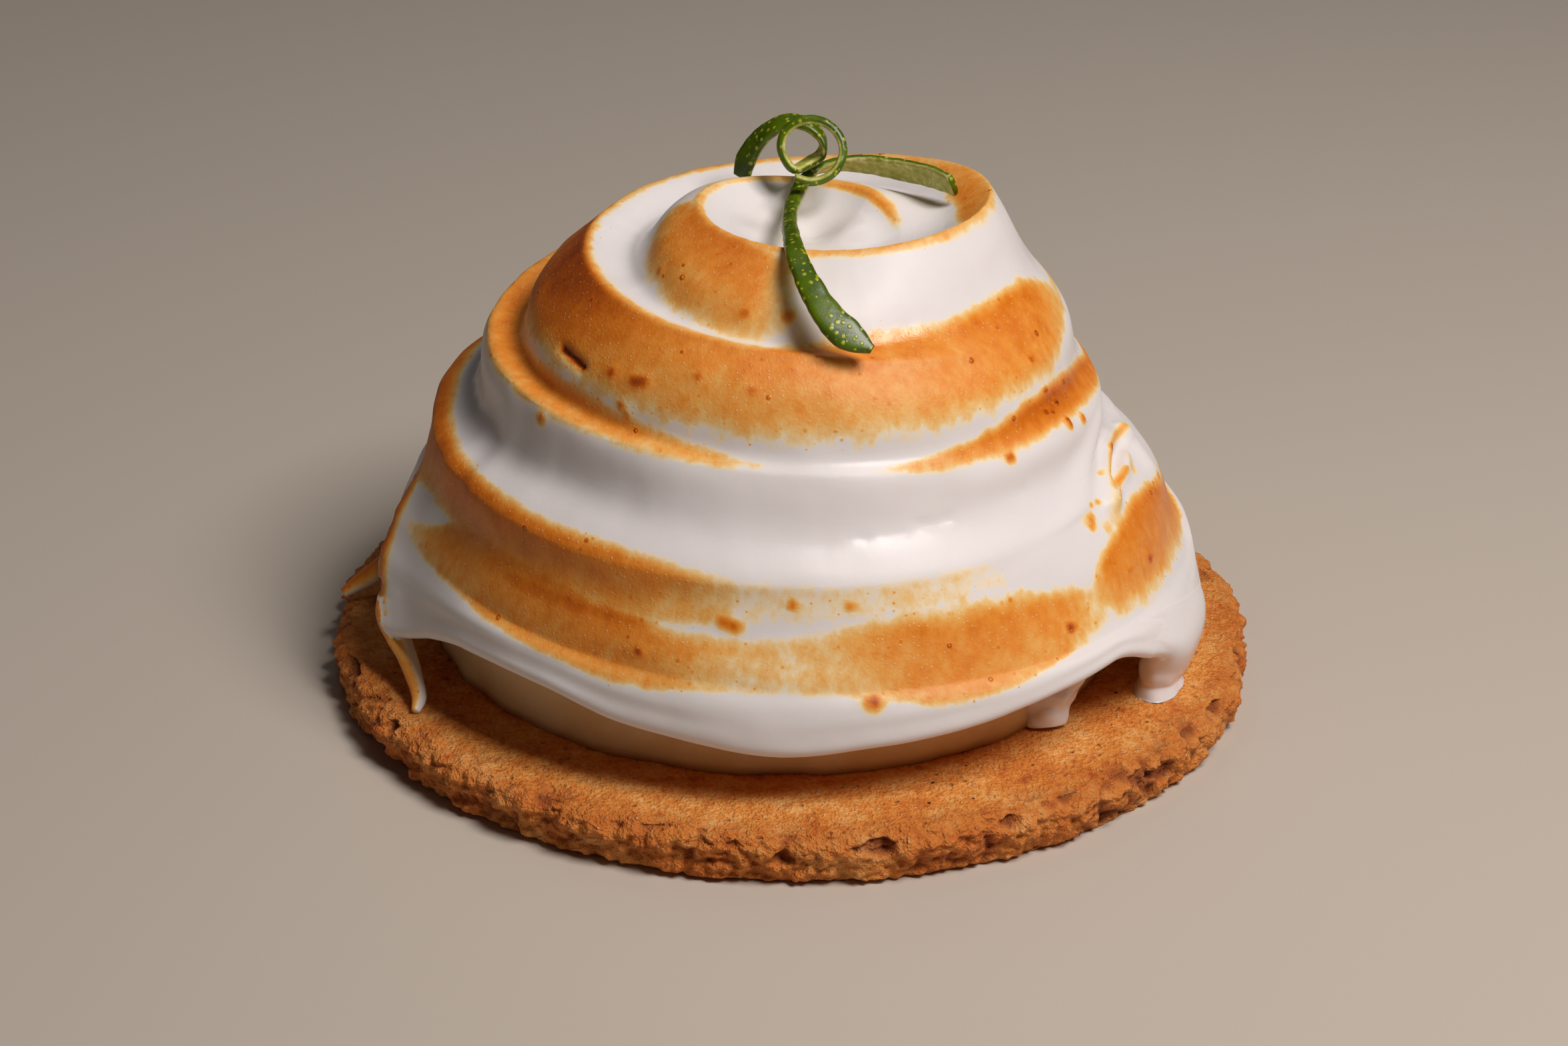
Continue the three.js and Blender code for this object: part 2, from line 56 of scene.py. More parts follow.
# The ridge that the spatula left is one spiral. A turn is counted from the left of the cake
# (azimuth 180), and each row is a quarter turn further down: the ridge's radius and height, then
# the groove above it: its depth, where it lies between the two turns, and how far the face bulges.
FIRST_ROW = -0.75
RIDGE = np.array([
    (15.5, 47.6, 0.0, 0.60, 0.0), (8.7, 49.4, 0.0, 0.60, 0.0), (7.3, 49.5, 0.0, 0.60, 0.0),
    (9.6, 50.4, 0.0, 0.60, 0.0), (13.6, 50.0, 0.0, 0.60, 0.0), (18.7, 51.0, 1.2, 0.50, 0.0),
    (18.8, 47.4, 2.2, 0.58, 0.0), (20.9, 45.8, 2.6, 0.66, 0.0), (23.8, 43.6, 1.3, 0.84, 0.0),
    (26.0, 39.8, 0.5, 0.55, 0.0), (26.6, 39.8, 1.5, 0.70, 0.0), (30.5, 36.8, 2.1, 0.81, 0.0),
    (30.2, 34.3, 0.5, 0.85, 0.9), (30.2, 31.3, 0.9, 0.55, 0.3), (33.0, 30.4, 1.5, 0.70, 0.3),
    (36.3, 27.7, 2.2, 0.55, 0.0), (35.8, 25.5, 0.9, 0.50, 0.0), (33.4, 25.2, 1.3, 0.50, 0.0),
    (36.8, 22.6, 1.2, 0.70, 0.3), (38.6, 19.0, 0.8, 0.50, 0.0), (39.4, 16.8, 0.4, 0.35, 0.1),
    (39.6, 15.4, 0.0, 0.50, 0.8), (40.0, 14.8, 0.8, 0.60, 0.3), (40.2, 14.0, 0.8, 0.60, 0.3),
])
RADIUS, HEIGHT, GROOVE, LOW, BULGE = range(5)
FIRST_CREST = -0.56
LAST_CREST = 4.8
START_FADE = 0.14
END_FADE = 0.3
BULGE_LOW = 0.4

CRATER = {"x": 2.0, "y": -3.6, "floor": 46.0, "steepness": 2.3, "centre_turn": -1.5}

# Inside the crater the meringue folded over itself: a soft hump with a crease on its left.
CRATER_FOLD = [((5.4, -0.8), 2.2, 0.9), ((1.4, 0.4), 1.5, -0.5), ((-4.2, -2.0), 2.4, 0.5)]

# The hem: its height at each azimuth, its radius, its rounded lip, and the way back in under it.
HEM_TURN = 5.3
HEM_BULGE = 0.5
HEM_LIP = 1.6
HEM_UNDER = {"inset": 3.0, "rise": 0.9, "contact": 2.0}
HEM = np.array([
    (14, 11.8), (32, 12.6), (52, 11.2), (76, 10.4), (100, 11.6), (126, 10.4), (150, 12.2),
    (170, 11.4), (184, 10.0), (195, 8.7), (203, 8.9), (211, 10.8), (219, 12.3), (236, 12.6),
    (247, 11.2), (260, 10.1), (270, 9.7), (284, 10.4), (293, 10.9), (301, 11.5), (314, 12.5),
    (324, 12.9), (334, 12.9), (352, 12.4),
])
HEM_RADIUS = {"mean": 40.8, "front": 0.5}
COAT_GAP = 0.9

# At the right the coat ran down to the shortbread. The hem sags into that drip.
DRIP = {"azimuth": 340.0, "half": 13.5, "edge": 7.5, "radius": 42.3, "sag": 3.4}

# The fin that was pulled out at the left: height, azimuth and reach of its edge, which browned.
FIN = np.array([(7, 202, 3.2), (12, 198, 2.7), (17, 194, 2.2), (22, 191, 1.5), (27, 187, 0.0)])
FIN_SPREAD = {"front": 5.5, "back": 2.6, "edge": 0.3}
FIN_BROWN = {"off": 0.2, "half": 1.9, "most": 0.92}

# The crease at the right that runs down from the second turn.
PINCH = {"top": 31.0, "bottom": 25.5, "top_azimuth": 350, "bottom_azimuth": 322,
         "reach": 0.9, "half": 7.0}

# How the skin wavers. Each layer of noise has a size, a seed and an amount. The spatula juddered,
# mostly low at the left, and left streaks: there the noise goes round at a radius of its own.
SWEEP = [((15, 15, 6), 3.1, 0.30), ((5, 5, 2.4), 7.7, 0.07)]
JUDDER = {"radius": 10.4, "turns": 1.3, "seed": 1.3, "least": 0.05, "left": 0.28}
JUDDER_LEFT = {"azimuth": 210, "half": 26, "turns": (2.0, 2.5, 3.2, 3.5)}
STREAKS = {"radius": 3.0, "turns": 3.2, "seed": 5.9, "amount": 0.12}

# What hangs from the coat or squeezed out under it: the middle of each strand, half its width and
# half its thickness at each place, the direction of its width, and the side that browned.
TAIL = {
    "route": [(-37.8, -11.9, 13.4), (-39.3, -12.8, 12.0), (-39.8, -13.9, 10.6), (-39.1, -15.3, 9.3),
              (-37.9, -17.4, 8.0), (-36.9, -20.0, 6.9), (-36.2, -22.4, 6.0), (-36.4, -24.2, 5.4)],
    "wide": [1.2, 1.7, 1.75, 1.5, 1.15, 0.95, 0.8, 0.4],
    "thin": [1.0, 1.2, 1.05, 0.9, 0.7, 0.6, 0.5, 0.3],
    "across": (-0.80, -0.35, 0.30), "brown": ((-0.9, 0.0, 0.3), 0.62),
}
SPUR = {
    "route": [(-38.9, 3.6, 11.8), (-41.2, 2.2, 8.8), (-44.0, 0.8, 7.0), (-46.2, -0.2, 5.8)],
    "wide": [2.4, 1.8, 1.3, 0.6], "thin": [1.8, 1.2, 0.9, 0.45],
    "across": (0.1, -1.0, 0.2), "brown": ((-0.4, 0.0, 0.9), 0.8),
}
WHITE = ((0.0, 0.0, 1.0), 0.0)
FOOT = {
    "route": [(37.16, -12.79, 13.2), (37.75, -13.75, 10.6), (37.35, -14.5, 8.6),
              (36.75, -15.05, 7.0), (36.6, -15.2, 6.0), (36.6, -15.2, 5.02)],
    "wide": [9.5, 8.9, 6.4, 4.0, 3.2, 3.9], "thin": [2.0, 2.8, 2.6, 2.2, 1.9, 2.4],
    "across": (0.342, 0.94, 0.0), "brown": WHITE,
}
SQUEEZED = {
    "route": [(25.1, -21.4, 12.2), (24.9, -22.4, 9.6), (24.7, -23.2, 7.0), (24.9, -23.8, 5.02)],
    "wide": [4.0, 3.7, 2.6, 1.8], "thin": [2.0, 2.1, 1.7, 1.5],
    "across": (1.0, 0.1, 0.0), "brown": WHITE,
}
SMEAR = {
    "route": [(14.2, -28.0, 7.4), (14.4, -28.5, 6.3), (14.6, -28.9, 5.02)],
    "wide": [1.0, 2.1, 2.5], "thin": [0.7, 1.1, 1.3],
    "across": (1.0, 0.2, 0.0), "brown": WHITE,
}
STRAND_WET = 0.8
RAGGED = {"size": 1.6, "seed": 4.4}

# The corners where strands leave the coat: a place, its reach each way, and passes of smoothing.
CORNERS = [
    ((-39.6, -13.4, 11.0), (4.2, 4.6, 3.4), 12), (SPUR["route"][1], (2.8, 2.8, 2.8), 6),
    ((39.5, -13.8, 12.2), (5.5, 14.0, 5.4), 20),
]

# Peel: the middle of each strip, the direction of its width, and how wide it is there.
PEEL = {"thickness": 0.8, "round": 0.14, "waver": 0.10, "dish": 0.10}
COIL = {"x": 1.1, "y": 3.0, "z": 53.7, "radius": 3.05, "squash": 0.93, "tilt": 26, "start": 240,
        "end": -122, "back": 2.3, "front": -0.3, "places": 13, "wide": (2.1, 1.3)}
CURL_TAIL = [
    ((-5.9, 9.9, 48.5), (-0.75, 0.65, 0.0), 1.9), ((-5.4, 9.9, 50.5), (-0.65, 0.75, 0.0), 2.5),
    ((-3.9, 9.7, 52.9), (-0.45, 0.90, 0.0), 2.5), ((-1.6, 9.2, 54.6), (-0.20, 0.95, 0.1), 2.4),
    ((0.6, 8.6, 54.6), (0.0, 1.0, 0.1), 2.3), ((2.1, 7.9, 53.3), (0.0, 1.0, 0.0), 2.2),
    ((1.8, 6.9, 51.95), (0.0, 1.0, 0.0), 2.2),
]
RIBBON = [
    ((14.9, 0.9, 51.4), (-0.25, -0.35, 0.90), 2.5), ((12.9, 3.5, 51.3), (-0.25, -0.35, 0.90), 2.8),
    ((9.6, 6.2, 51.0), (-0.20, -0.45, 0.85), 2.9), ((5.9, 7.8, 50.9), (-0.10, -0.50, 0.85), 2.3),
    ((2.6, 7.9, 50.5), (0.10, -0.70, 0.70), 1.8), ((0.7, 6.4, 49.95), (0.70, -0.50, 0.30), 1.5),
    ((-0.4, 2.4, 49.4), (1.00, -0.20, 0.20), 1.5), ((-1.0, -3.7, 49.7), (0.90, 0.00, 0.45), 1.5),
    ((-0.85, -9.6, 50.3), (0.90, 0.00, 0.40), 1.6), ((-0.45, -15.2, 50.7), (0.90, 0.00, 0.30), 1.9),
    ((0.6, -19.6, 49.8), (0.92, 0.00, 0.15), 2.2), ((1.85, -21.8, 48.4), (0.95, 0.10, 0.00), 2.6),
    ((3.35, -23.5, 46.9), (0.95, 0.20, 0.05), 3.0), ((4.85, -24.2, 45.8), (0.95, 0.30, 0.10), 3.0),
    ((6.9, -24.6, 44.7), (0.90, 0.40, 0.10), 0.9),
]

# Where the flame browned the meringue, and one band of painted shade. Each band follows the ridge
# of one turn. Its two shares say how much of its width fades in at the top and out at the bottom.
# At each azimuth it has an upper and a lower edge, in hundredths of a turn below that ridge, and a
# strength in hundredths. Azimuths run on past 360 round the back, which the photograph doesn't show
# and where the bands carry on.
BANDS = [
    ("crater rim", 0, (0.3, 0.3), [
        (150, -7, 7, 50), (200, -7, 8, 75), (255, -7, 8, 85), (290, -7, 7, 80), (325, -8, 8, 80),
        (340, -18, 8, 85), (352, -38, 8, 95), (372, -42, 8, 100), (392, -30, 8, 90),
        (420, -14, 8, 70), (470, -8, 8, 70), (540, -7, 7, 60),
    ]),
    ("inner ridge", -1, (0.3, 0.3), [
        (354, -8, 4, 0), (368, -8, 8, 90), (400, -8, 9, 95), (450, -7, 7, 75), (500, -6, 6, 60),
        (535, -5, 5, 50),
    ]),
    ("outside of the crater", 0, (0.1, 0.22), [
        (176, 10, 16, 0), (188, 5, 38, 70), (200, -2, 55, 90), (210, -2, 64, 100),
        (230, -2, 78, 100), (246, -2, 88, 100), (256, 3, 90, 95), (264, 8, 86, 60),
        (272, 30, 75, 0),
    ]),
    ("second turn", 1, (0.12, 0.35), [
        (100, 5, 30, 0), (130, 0, 55, 80), (165, -3, 74, 115), (186, -3, 78, 140),
        (200, -4, 74, 135), (212, -4, 74, 125), (230, -4, 80, 100), (250, -5, 86, 85),
        (262, -7, 86, 92), (268, -17, 84, 92), (280, -24, 82, 90), (290, -30, 80, 90),
        (300, -31, 74, 90), (310, -34, 66, 92), (320, -38, 57, 100), (335, -42, 49, 100),
        (345, -40, 32, 95), (353, -31, 16, 80), (362, -14, 7, 50), (400, -12, 15, 80),
        (440, -8, 32, 70), (475, 0, 20, 0),
    ]),
    ("ledge, left", 2, (0.35, 0.2), [
        (110, -10, 3, 0), (140, -15, 5, 80), (172, -20, 5, 105), (190, -20, 5, 105),
        (205, -24, 5, 100), (220, -28, 5, 100), (230, -25, 4, 95), (240, -21, 3, 90),
        (250, -16, 2, 80), (260, -11, 1, 55), (270, -7, -2, 0),
    ]),
    ("ledge, right", 2, (0.3, 0.25), [
        (282, -7, -2, 0), (290, -11, -1, 60), (298, -17, 0, 85), (305, -24, -3, 95),
        (312, -32, -4, 105), (320.5, -44, -7, 120), (331, -50, -10, 130), (341.5, -50, -10, 125),
        (353, -43, -4, 115), (365, -24, 4, 110), (375, -24, 6, 110), (400, -22, 7, 100),
        (430, -20, 9, 90), (455, -13, 8, 60), (475, -8, 2, 0),
    ]),
    ("third turn", 3, (0.15, 0.2), [
        (110, -5, 10, 0), (140, -14, 34, 85), (172, -20, 55, 110), (182, -22, 56, 115),
        (192, -20, 54, 110), (202, -16, 50, 110), (212, -15, 56, 110), (225, -15, 58, 105),
        (240, -14, 58, 100), (249, -12, 55, 95), (255, -6, 50, 80), (262, -2, 42, 42),
        (275, -2, 36, 36), (292, -2, 34, 42), (302, -2, 29, 30), (312.8, 2, 22, 0),
    ]),
    ("lower face", 3, (0.25, 0.18), [
        (194, 86, 100, 0), (202, 74, 106, 75), (209, 36, 110, 95), (216, 15, 119, 100),
        (222, 15, 130, 100), (232, 15, 146, 100), (240, 25, 150, 100), (247, 42, 146, 97),
        (257, 50, 126, 75), (264, 51, 115, 55), (270, 48, 112, 50), (277, 36, 114, 65),
        (283, 27, 124, 85), (288, 22, 148, 92), (294, 22, 154, 95), (301, 22, 149, 95),
        (308.5, 35, 123, 90), (313.7, 43, 100, 85), (318.5, 51, 95, 60), (325, 58, 84, 30),
    ]),
    # Painted shade: brown laid over the lower part of the third turn, where the face turns down and
    # away from the light.
    ("shade of the lower face", 3, (0.45, 0.45), [
        (216, 48, 84, 0), (224, 40, 82, 120), (238, 38, 78, 125), (248, 44, 74, 110),
        (254, 50, 70, 0),
    ]),
    ("right bulge", 3, (0.15, 0.3), [
        (318.7, 55, 73, 30), (324, 36, 94, 90), (332, 22, 100, 100), (339.5, 16, 100, 105),
        (349, 26, 99, 105), (358, 45, 106, 100), (367, 41, 121, 100), (390, 40, 108, 100),
        (415, 36, 98, 90), (445, 28, 72, 60), (465, 26, 54, 0),
    ]),
]
BAND_EDGE = 0.10
HALO_EDGE = 0.28
HEAT_OF_BAND = 0.68
# A band is browner at its top than at its bottom.
TOP_HEAT = 1.15
HEAT_DROP = 0.38
# A painted warm glow on the underside of the lip: peach toast colour standing in for warm light
# bounced up under it.
PAINTED_LIP_GLOW = 0.36

# Folds and other long marks, along azimuths and turns: half width, how browned, and how far they
# stand out. First the two folds at the right with the groove between them, each with an amber line
# on its edge, then the slit on the second turn, spots that ran together, and a dent.
UPPER_FOLD = [(358, 3.32), (351.8, 3.185), (346.8, 3.155), (342.5, 3.20), (338.8, 3.26),
              (335.5, 3.375), (332.8, 3.47)]
LOWER_FOLD = [(350.5, 3.43), (345.5, 3.465), (340.5, 3.45), (336.8, 3.475), (334.8, 3.525)]
FOLDS = [
    (UPPER_FOLD, 1.1, 0.0, 1.05), (UPPER_FOLD[:-1], 0.50, 0.48, 0.0),
    ([(355.2, 3.31), (348.2, 3.275), (343, 3.315), (338.8, 3.385)], 0.8, 0.0, -1.1),
    (LOWER_FOLD, 0.75, 0.0, 0.6), (LOWER_FOLD[1:], 0.45, 0.62, 0.0),
    ([(350.0, 3.50), (348.5, 3.56)], 1.0, 0.32, 0.0),
    ([(360.8, 3.48), (357.5, 3.60), (355.8, 3.73)], 1.6, 0.0, 0.6),
    ([(334.5, 3.52), (331.5, 3.66)], 1.5, 0.34, 0.0),
    # The slit's dark brown is partly browning and partly painted shade in its crease.
    ([(213.5, 1.65), (218, 1.67), (222, 1.70)], 0.5, 1.35, -0.4),
    ([(236, 1.67), (238, 1.66)], 1.0, 1.05, 0.16), ([(260, 3.61), (262, 3.65)], 0.8, 0.8, 0.10),
    ([(326.8, 3.44), (325.5, 3.505)], 0.6, 0.7, 0.05),
    ([(291.5, 2.77), (294.5, 2.80), (297, 2.77)], 0.6, 0.0, -0.14),
]

# Spots that burst or caught, blisters and dents: azimuth, turn, half width, how browned, how high.
SPOTS = [
    (325.0, 3.44, 0.8, 0.36, 0.0), (329.0, 3.62, 1.0, 0.42, 0.0), (218, 0.67, 0.65, 0.95, 0.12),
    (255, 0.86, 1.0, 0.85, 0.10), (267, 0.87, 0.8, 0.75, 0.08), (249.5, 1.53, 0.9, 0.90, 0.12),
    (261, 1.58, 1.0, 0.85, 0.12), (269, 1.39, 0.7, 0.75, 0.10), (230, 1.66, 0.9, 1.05, 0.14),
    (234.5, 1.87, 0.65, 0.9, 0.08), (236, 1.93, 0.6, 0.8, 0.08), (219, 2.20, 0.75, 0.8, 0.10),
    (270, 3.42, 0.75, 0.8, 0.08), (278.5, 3.46, 0.65, 0.75, 0.08), (248.5, 4.02, 0.75, 1.05, 0.15),
    (281, 4.49, 1.0, 1.0, 0.12), (336.8, 4.12, 0.75, 1.15, 0.15), (329.8, 4.035, 0.6, 1.0, 0.12),
    (313.2, 4.165, 0.85, 1.15, 0.12), (327.5, 1.59, 0.7, 1.0, 0.12), (312.5, 2.36, 0.65, 1.0, 0.10),
    (296, 4.105, 0.6, 0.9, 0.1), (336.8, 3.16, 0.55, 0.45, 0.0), (346.2, 3.18, 0.6, 1.2, 0.1),
    (328.2, 3.33, 0.45, 0.6, 0.05), (330.2, 3.365, 0.45, 0.6, 0.05), (354.8, 3.855, 0.7, 0.8, 0.1),
    (338.2, 2.42, 0.6, 1.0, 0.2), (332.2, 2.375, 0.5, 1.0, 0.2), (339.2, 2.025, 0.5, 1.3, 0.18),
    (329.8, 1.95, 0.5, 1.3, 0.18), (332.5, 2.115, 0.5, 1.35, 0.18), (327, 2.13, 0.45, 1.3, 0.15),
    (329, 2.165, 0.45, 1.25, 0.15), (332.2, 2.32, 0.5, 1.2, 0.15), (281.5, 2.835, 0.6, 0.0, -0.09),
    (314, 2.765, 0.7, 0.0, -0.10),
]


# ----------------small helpers


def mix(a, b, share):
    return a + (b - a) * share


def smooth(value, start, end):
    share = np.clip((value - start) / (end - start), 0, 1)
    return share * share * (3 - 2 * share)


def over(value, start, full, falling, end):
    """1 between full and falling, and 0 before start and after end."""
    return smooth(value, start, full) * (1 - smooth(value, falling, end))


def polar(azimuth, radius, height):
    angle = np.radians(azimuth)
    return np.stack(np.broadcast_arrays(radius * np.cos(angle), radius * np.sin(angle), height), -1)


def turn_from(start, azimuth):
    """The signed angle from one azimuth to another, in degrees."""
    return (azimuth - start + 540) % 360 - 180


def unit(vectors):
    return vectors / np.maximum(np.linalg.norm(vectors, axis=-1, keepdims=True), 1e-9)


def through(a, b, c, d, t):
    """A curve through four even values, at t between the middle two."""
    slope_b = (c - a) / 2
    slope_c = (d - b) / 2
    drop = b - c
    last = 2 * drop + slope_b + slope_c
    return b + t * (slope_b + t * (-3 * drop - 2 * slope_b - slope_c + t * last))


def along_points(points, share):
    """A smooth curve through points, at shares of the way from the first to the last."""
    points = np.asarray(points, float)
    last = len(points) - 1
    place = np.asarray(share) * last
    start = np.clip(np.floor(place).astype(int), 0, last - 1)
    around = [points[np.clip(start + step, 0, last)] for step in (-1, 0, 1, 2)]
    return through(*around, (place - start)[..., None])


def heading(points, share, step=0.006):
    """The direction of a smooth curve through points."""
    back, ahead = (along_points(points, np.clip(share + off, 0, 1)) for off in (-step, step))
    return unit(ahead - back)


def square_to(ways, ahead):
    """Directions turned until they are square to a heading."""
    return unit(ways - ahead * np.sum(ways * ahead, -1, keepdims=True))


def relief(points, size, seed=0.0):
    """Even noise from -1 to 1 with lumps of about that size, at each point."""
    flat = points.reshape(-1, 3) / np.asarray(size) + seed
    values = [noise.noise(Vector(p)) for p in flat.tolist()]
    return np.array(values).reshape(points.shape[:-1])


def crumbs(points, size, seed=0.0):
    """Rounded grains of about that size: 1 on top of a grain and down to -0.3 between them."""
    flat = points.reshape(-1, 3) / size + seed
    near = np.array([noise.voronoi(Vector(p))[0][0] for p in flat.tolist()])
    return np.maximum(1 - 1.9 * near ** 2, -0.3).reshape(points.shape[:-1])


def layered(points, layers, kind=relief):
    """Noise in layers, each with a size, a seed and an amount."""
    return sum(kind(points, size, seed) * amount for size, seed, amount in layers)


def far_from(points, path):
    """The distance of each point from a line through a few places."""
    path = np.atleast_2d(path)
    if len(path) == 1:
        return np.linalg.norm(points - path[0], axis=-1)
    found = []
    for a, b in zip(path[:-1], path[1:]):
        share = np.clip(((points - a) @ (b - a)) / ((b - a) @ (b - a)), 0, 1)[..., None]
        found.append(np.linalg.norm(points - a - share * (b - a), axis=-1))
    return np.minimum.reduce(found)


def normals_of(grid):
    """Outward normals of a wrapped grid of points, whose first and last column are the same."""
    around = np.empty_like(grid)
    around[:, 1:-1] = grid[:, 2:] - grid[:, :-2]
    around[:, 0] = grid[:, 1] - grid[:, -2]
    around[:, -1] = around[:, 0]
    return unit(np.cross(np.gradient(grid, axis=0), around))


def grid_shares(columns, rows):
    """Shares around and along for every point of a wrapped grid."""
    return np.meshgrid(np.linspace(0, 1, columns + 1), np.linspace(0, 1, rows + 1))


def rings(columns, rows):
    """The azimuth and the row of every point of a wrapped grid."""
    around, along = grid_shares(columns, rows)
    return (around * 360) % 360, along * rows


def shell(name, columns, rows, place, values=None):
    """A closed skin: a grid wrapped round, welded along its seam and at a point at both ends."""
    bm = bmesh.new()
    bmesh.ops.create_grid(bm, x_segments=columns, y_segments=rows, size=0.5)
    flat = np.array([v.co for v in bm.verts])
    column = np.rint((flat[:, 0] + 0.5) * columns).astype(int)
    row = np.rint((flat[:, 1] + 0.5) * rows).astype(int)
    points = (place[row, column] * MM).tolist()
    for vert, point in zip(bm.verts, points):
        vert.co = point
    for key, value in (values or {}).items():
        layer = bm.verts.layers.float.new(key)
        for vert, number in zip(bm.verts, value[row, column].tolist()):
            vert[layer] = number
    bmesh.ops.remove_doubles(bm, verts=bm.verts, dist=WELD)
    bmesh.ops.recalc_face_normals(bm, faces=bm.faces)
    return finished(name, bm)


def finished(name, bm):
    """Turns a bmesh into an object with smooth faces."""
    for face in bm.faces:
        face.smooth = True
    mesh = bpy.data.meshes.new(name)
    bm.to_mesh(mesh)
    bm.free()
    return placed(name, mesh)


def placed(name, data):
    """A new object in the scene."""
    made = bpy.data.objects.new(name, data)
    bpy.context.scene.collection.objects.link(made)
    return made


# ----------------the form of the meringue


def ridge(which, turn):
    """One value of the spiral ridge at any turn."""
    place = (turn - FIRST_ROW) * 4
    row = np.clip(np.floor(place).astype(int), 0, len(RIDGE) - 2)
    around = [RIDGE[np.clip(row + step, 0, len(RIDGE) - 1), which] for step in (-1, 0, 1, 2)]
    return through(*around, place - row)


def hem_height(azimuth):
    rows = np.concatenate([HEM[-2:] - (360, 0), HEM, HEM[:2] + (360, 0)])
    after = np.searchsorted(rows[:, 0], azimuth, side="right")
    near = [rows[after + step] for step in (-2, -1, 0, 1)]
    start, end = near[1][..., 0], near[2][..., 0]
    return through(*(row[..., 1] for row in near), (azimuth - start) / (end - start))


def drip_share(azimuth):
    off = np.abs(turn_from(DRIP["azimuth"], azimuth))
    return 1 - smooth(off, DRIP["half"] - DRIP["edge"], DRIP["half"] + DRIP["edge"])


def hem(azimuth):
    """Radius and height of the hem's outer edge, which sags where the coat ran down."""
    share = drip_share(azimuth)
    radius = HEM_RADIUS["mean"] - HEM_RADIUS["front"] * np.sin(np.radians(azimuth))
    return mix(radius, DRIP["radius"], share), hem_height(azimuth) - DRIP["sag"] * share


def wave(share, top):
    """A smooth rise and fall from 0 to 1, with its top at one place between them."""
    return np.sin(np.pi * np.clip(share, 1e-9, 1) ** (np.log(0.5) / np.log(top))) ** 2


def between(upper, lower, share, groove, low, bulge):
    """Radius and height between two places, set in by the groove and out by the bulge."""
    across = lower[0] - upper[0]
    down = lower[1] - upper[1]
    length = np.hypot(across, down)
    out = bulge * wave(share, BULGE_LOW) - groove * wave(share, low)
    radius = mix(upper[0], lower[0], share) - down / length * out
    return radius, mix(upper[1], lower[1], share) + across / length * out


def crest(turn):
    return ridge(RADIUS, turn), ridge(HEIGHT, turn)


def profile(azimuth, turn, first, last):
    """The profile at each azimuth, from its first ridge to its last and on to the hem."""
    share = np.clip((turn - CRATER["centre_turn"]) / (first - CRATER["centre_turn"]), 0, 1)
    rim_radius, rim_height = crest(first)
    height = mix(CRATER["floor"], rim_height, share ** CRATER["steepness"])
    bowl = polar(azimuth, rim_radius * share, height)
    bowl[..., 0] += CRATER["x"] * (1 - share)
    bowl[..., 1] += CRATER["y"] * (1 - share)
    for centre, reach, rise in CRATER_FOLD:
        off = np.linalg.norm(bowl[..., :2] - centre, axis=-1)
        bowl[..., 2] += rise * np.exp(-(off / reach) ** 2) * (1 - share ** 4)

    radius, height = hem(azimuth)
    share = np.clip((turn - last) / (HEM_TURN - last), 0, 1)
    edge = (radius, height + HEM_LIP)
    skirt = polar(azimuth, *between(crest(last), edge, share, 0, 0.5, HEM_BULGE))

    upper = first + np.minimum(np.floor(turn - first + 1e-9), np.rint(last - first) - 1)
    lower = upper + 1
    shape = [ridge(which, lower) for which in (GROOVE, LOW, BULGE)]
    share = np.clip(turn - upper, 0, 1)
    turns = polar(azimuth, *between(crest(upper), crest(lower), share, *shape))

    below = (turn > last)[..., None]
    return np.where((turn < first)[..., None], bowl, np.where(below, skirt, turns))


def spun(azimuth, turn):
    """The spiral starts and ends gently: there the profile runs into the one without that ridge."""
    phase = azimuth / 360 - 0.5
    first = phase + np.ceil(FIRST_CREST - phase)
    last = phase + np.floor(LAST_CREST - phase)
    start = smooth(first, FIRST_CREST, FIRST_CREST + START_FADE)[..., None]
    end = 1 - smooth(last, LAST_CREST - END_FADE, LAST_CREST)[..., None]
    full = profile(azimuth, turn, first, last)
    opening = mix(profile(azimuth, turn, first + 1, last), full, start)
    closing = mix(profile(azimuth, turn, first, last - 1), full, end)
    top = (turn < first + 1)[..., None] & (start < 1)
    foot = (turn > last - 1)[..., None] & (end < 1)
    return np.where(top, opening, np.where(foot, closing, full))


def fin_line(height):
    """Azimuth and reach of the fin's edge at each height."""
    azimuth = np.interp(height, FIN[:, 0], FIN[:, 1])
    return azimuth, np.interp(height, FIN[:, 0], FIN[:, 2])


def fin_reach(azimuth, height):
    """The fin stands out to a soft edge, with a hollow sweep on the side that faces the front."""
    line, reach = fin_line(height)
    off = turn_from(line, azimuth)
    spread = np.where(off > 0, FIN_SPREAD["front"], FIN_SPREAD["back"])
    soft = FIN_SPREAD["edge"]
    return reach * np.exp(soft - np.sqrt((off / spread) ** 2 + soft ** 2))


def pinch_reach(azimuth, height):
    share = np.clip((PINCH["top"] - height) / (PINCH["top"] - PINCH["bottom"]), 0, 1)
    off = turn_from(mix(PINCH["top_azimuth"], PINCH["bottom_azimuth"], share), azimuth)
    return PINCH["reach"] * np.sin(np.pi * share) * np.exp(-((off / PINCH["half"]) ** 2))


def snapped(azimuth, turn, step):
    """Moves a row that passes near the ridge onto it, so that the crest has no steps."""
    phase = azimuth / 360 - 0.5
    off = turn - phase - np.rint(turn - phase)
    inside = (turn > FIRST_CREST) & (turn < HEM_TURN - step) & (np.abs(off) < step / 2)
    return np.where(inside, turn - off, turn)


# ----------------meringue

COLUMNS = 352
BOWL_ROWS = 26
TURN_ROWS = 208
LIP_ROWS = 9
UNDER_ROWS = 13
LIP_START = BOWL_ROWS + TURN_ROWS
UNDER_START = LIP_START + LIP_ROWS
ROWS = UNDER_START + UNDER_ROWS

# The rows near the hem are rolled smooth, each time half way to the mean of their neighbours.
HEM_ROLLS = 24
ROLLED_ROWS = (LIP_START - 16, LIP_START - 4, UNDER_START - 1, UNDER_START + 2)
# The rows under the lip that carry the painted warm glow.
LIP_GLOW_ROWS = (LIP_START + 3, LIP_START + 7, UNDER_START, UNDER_START + 2)


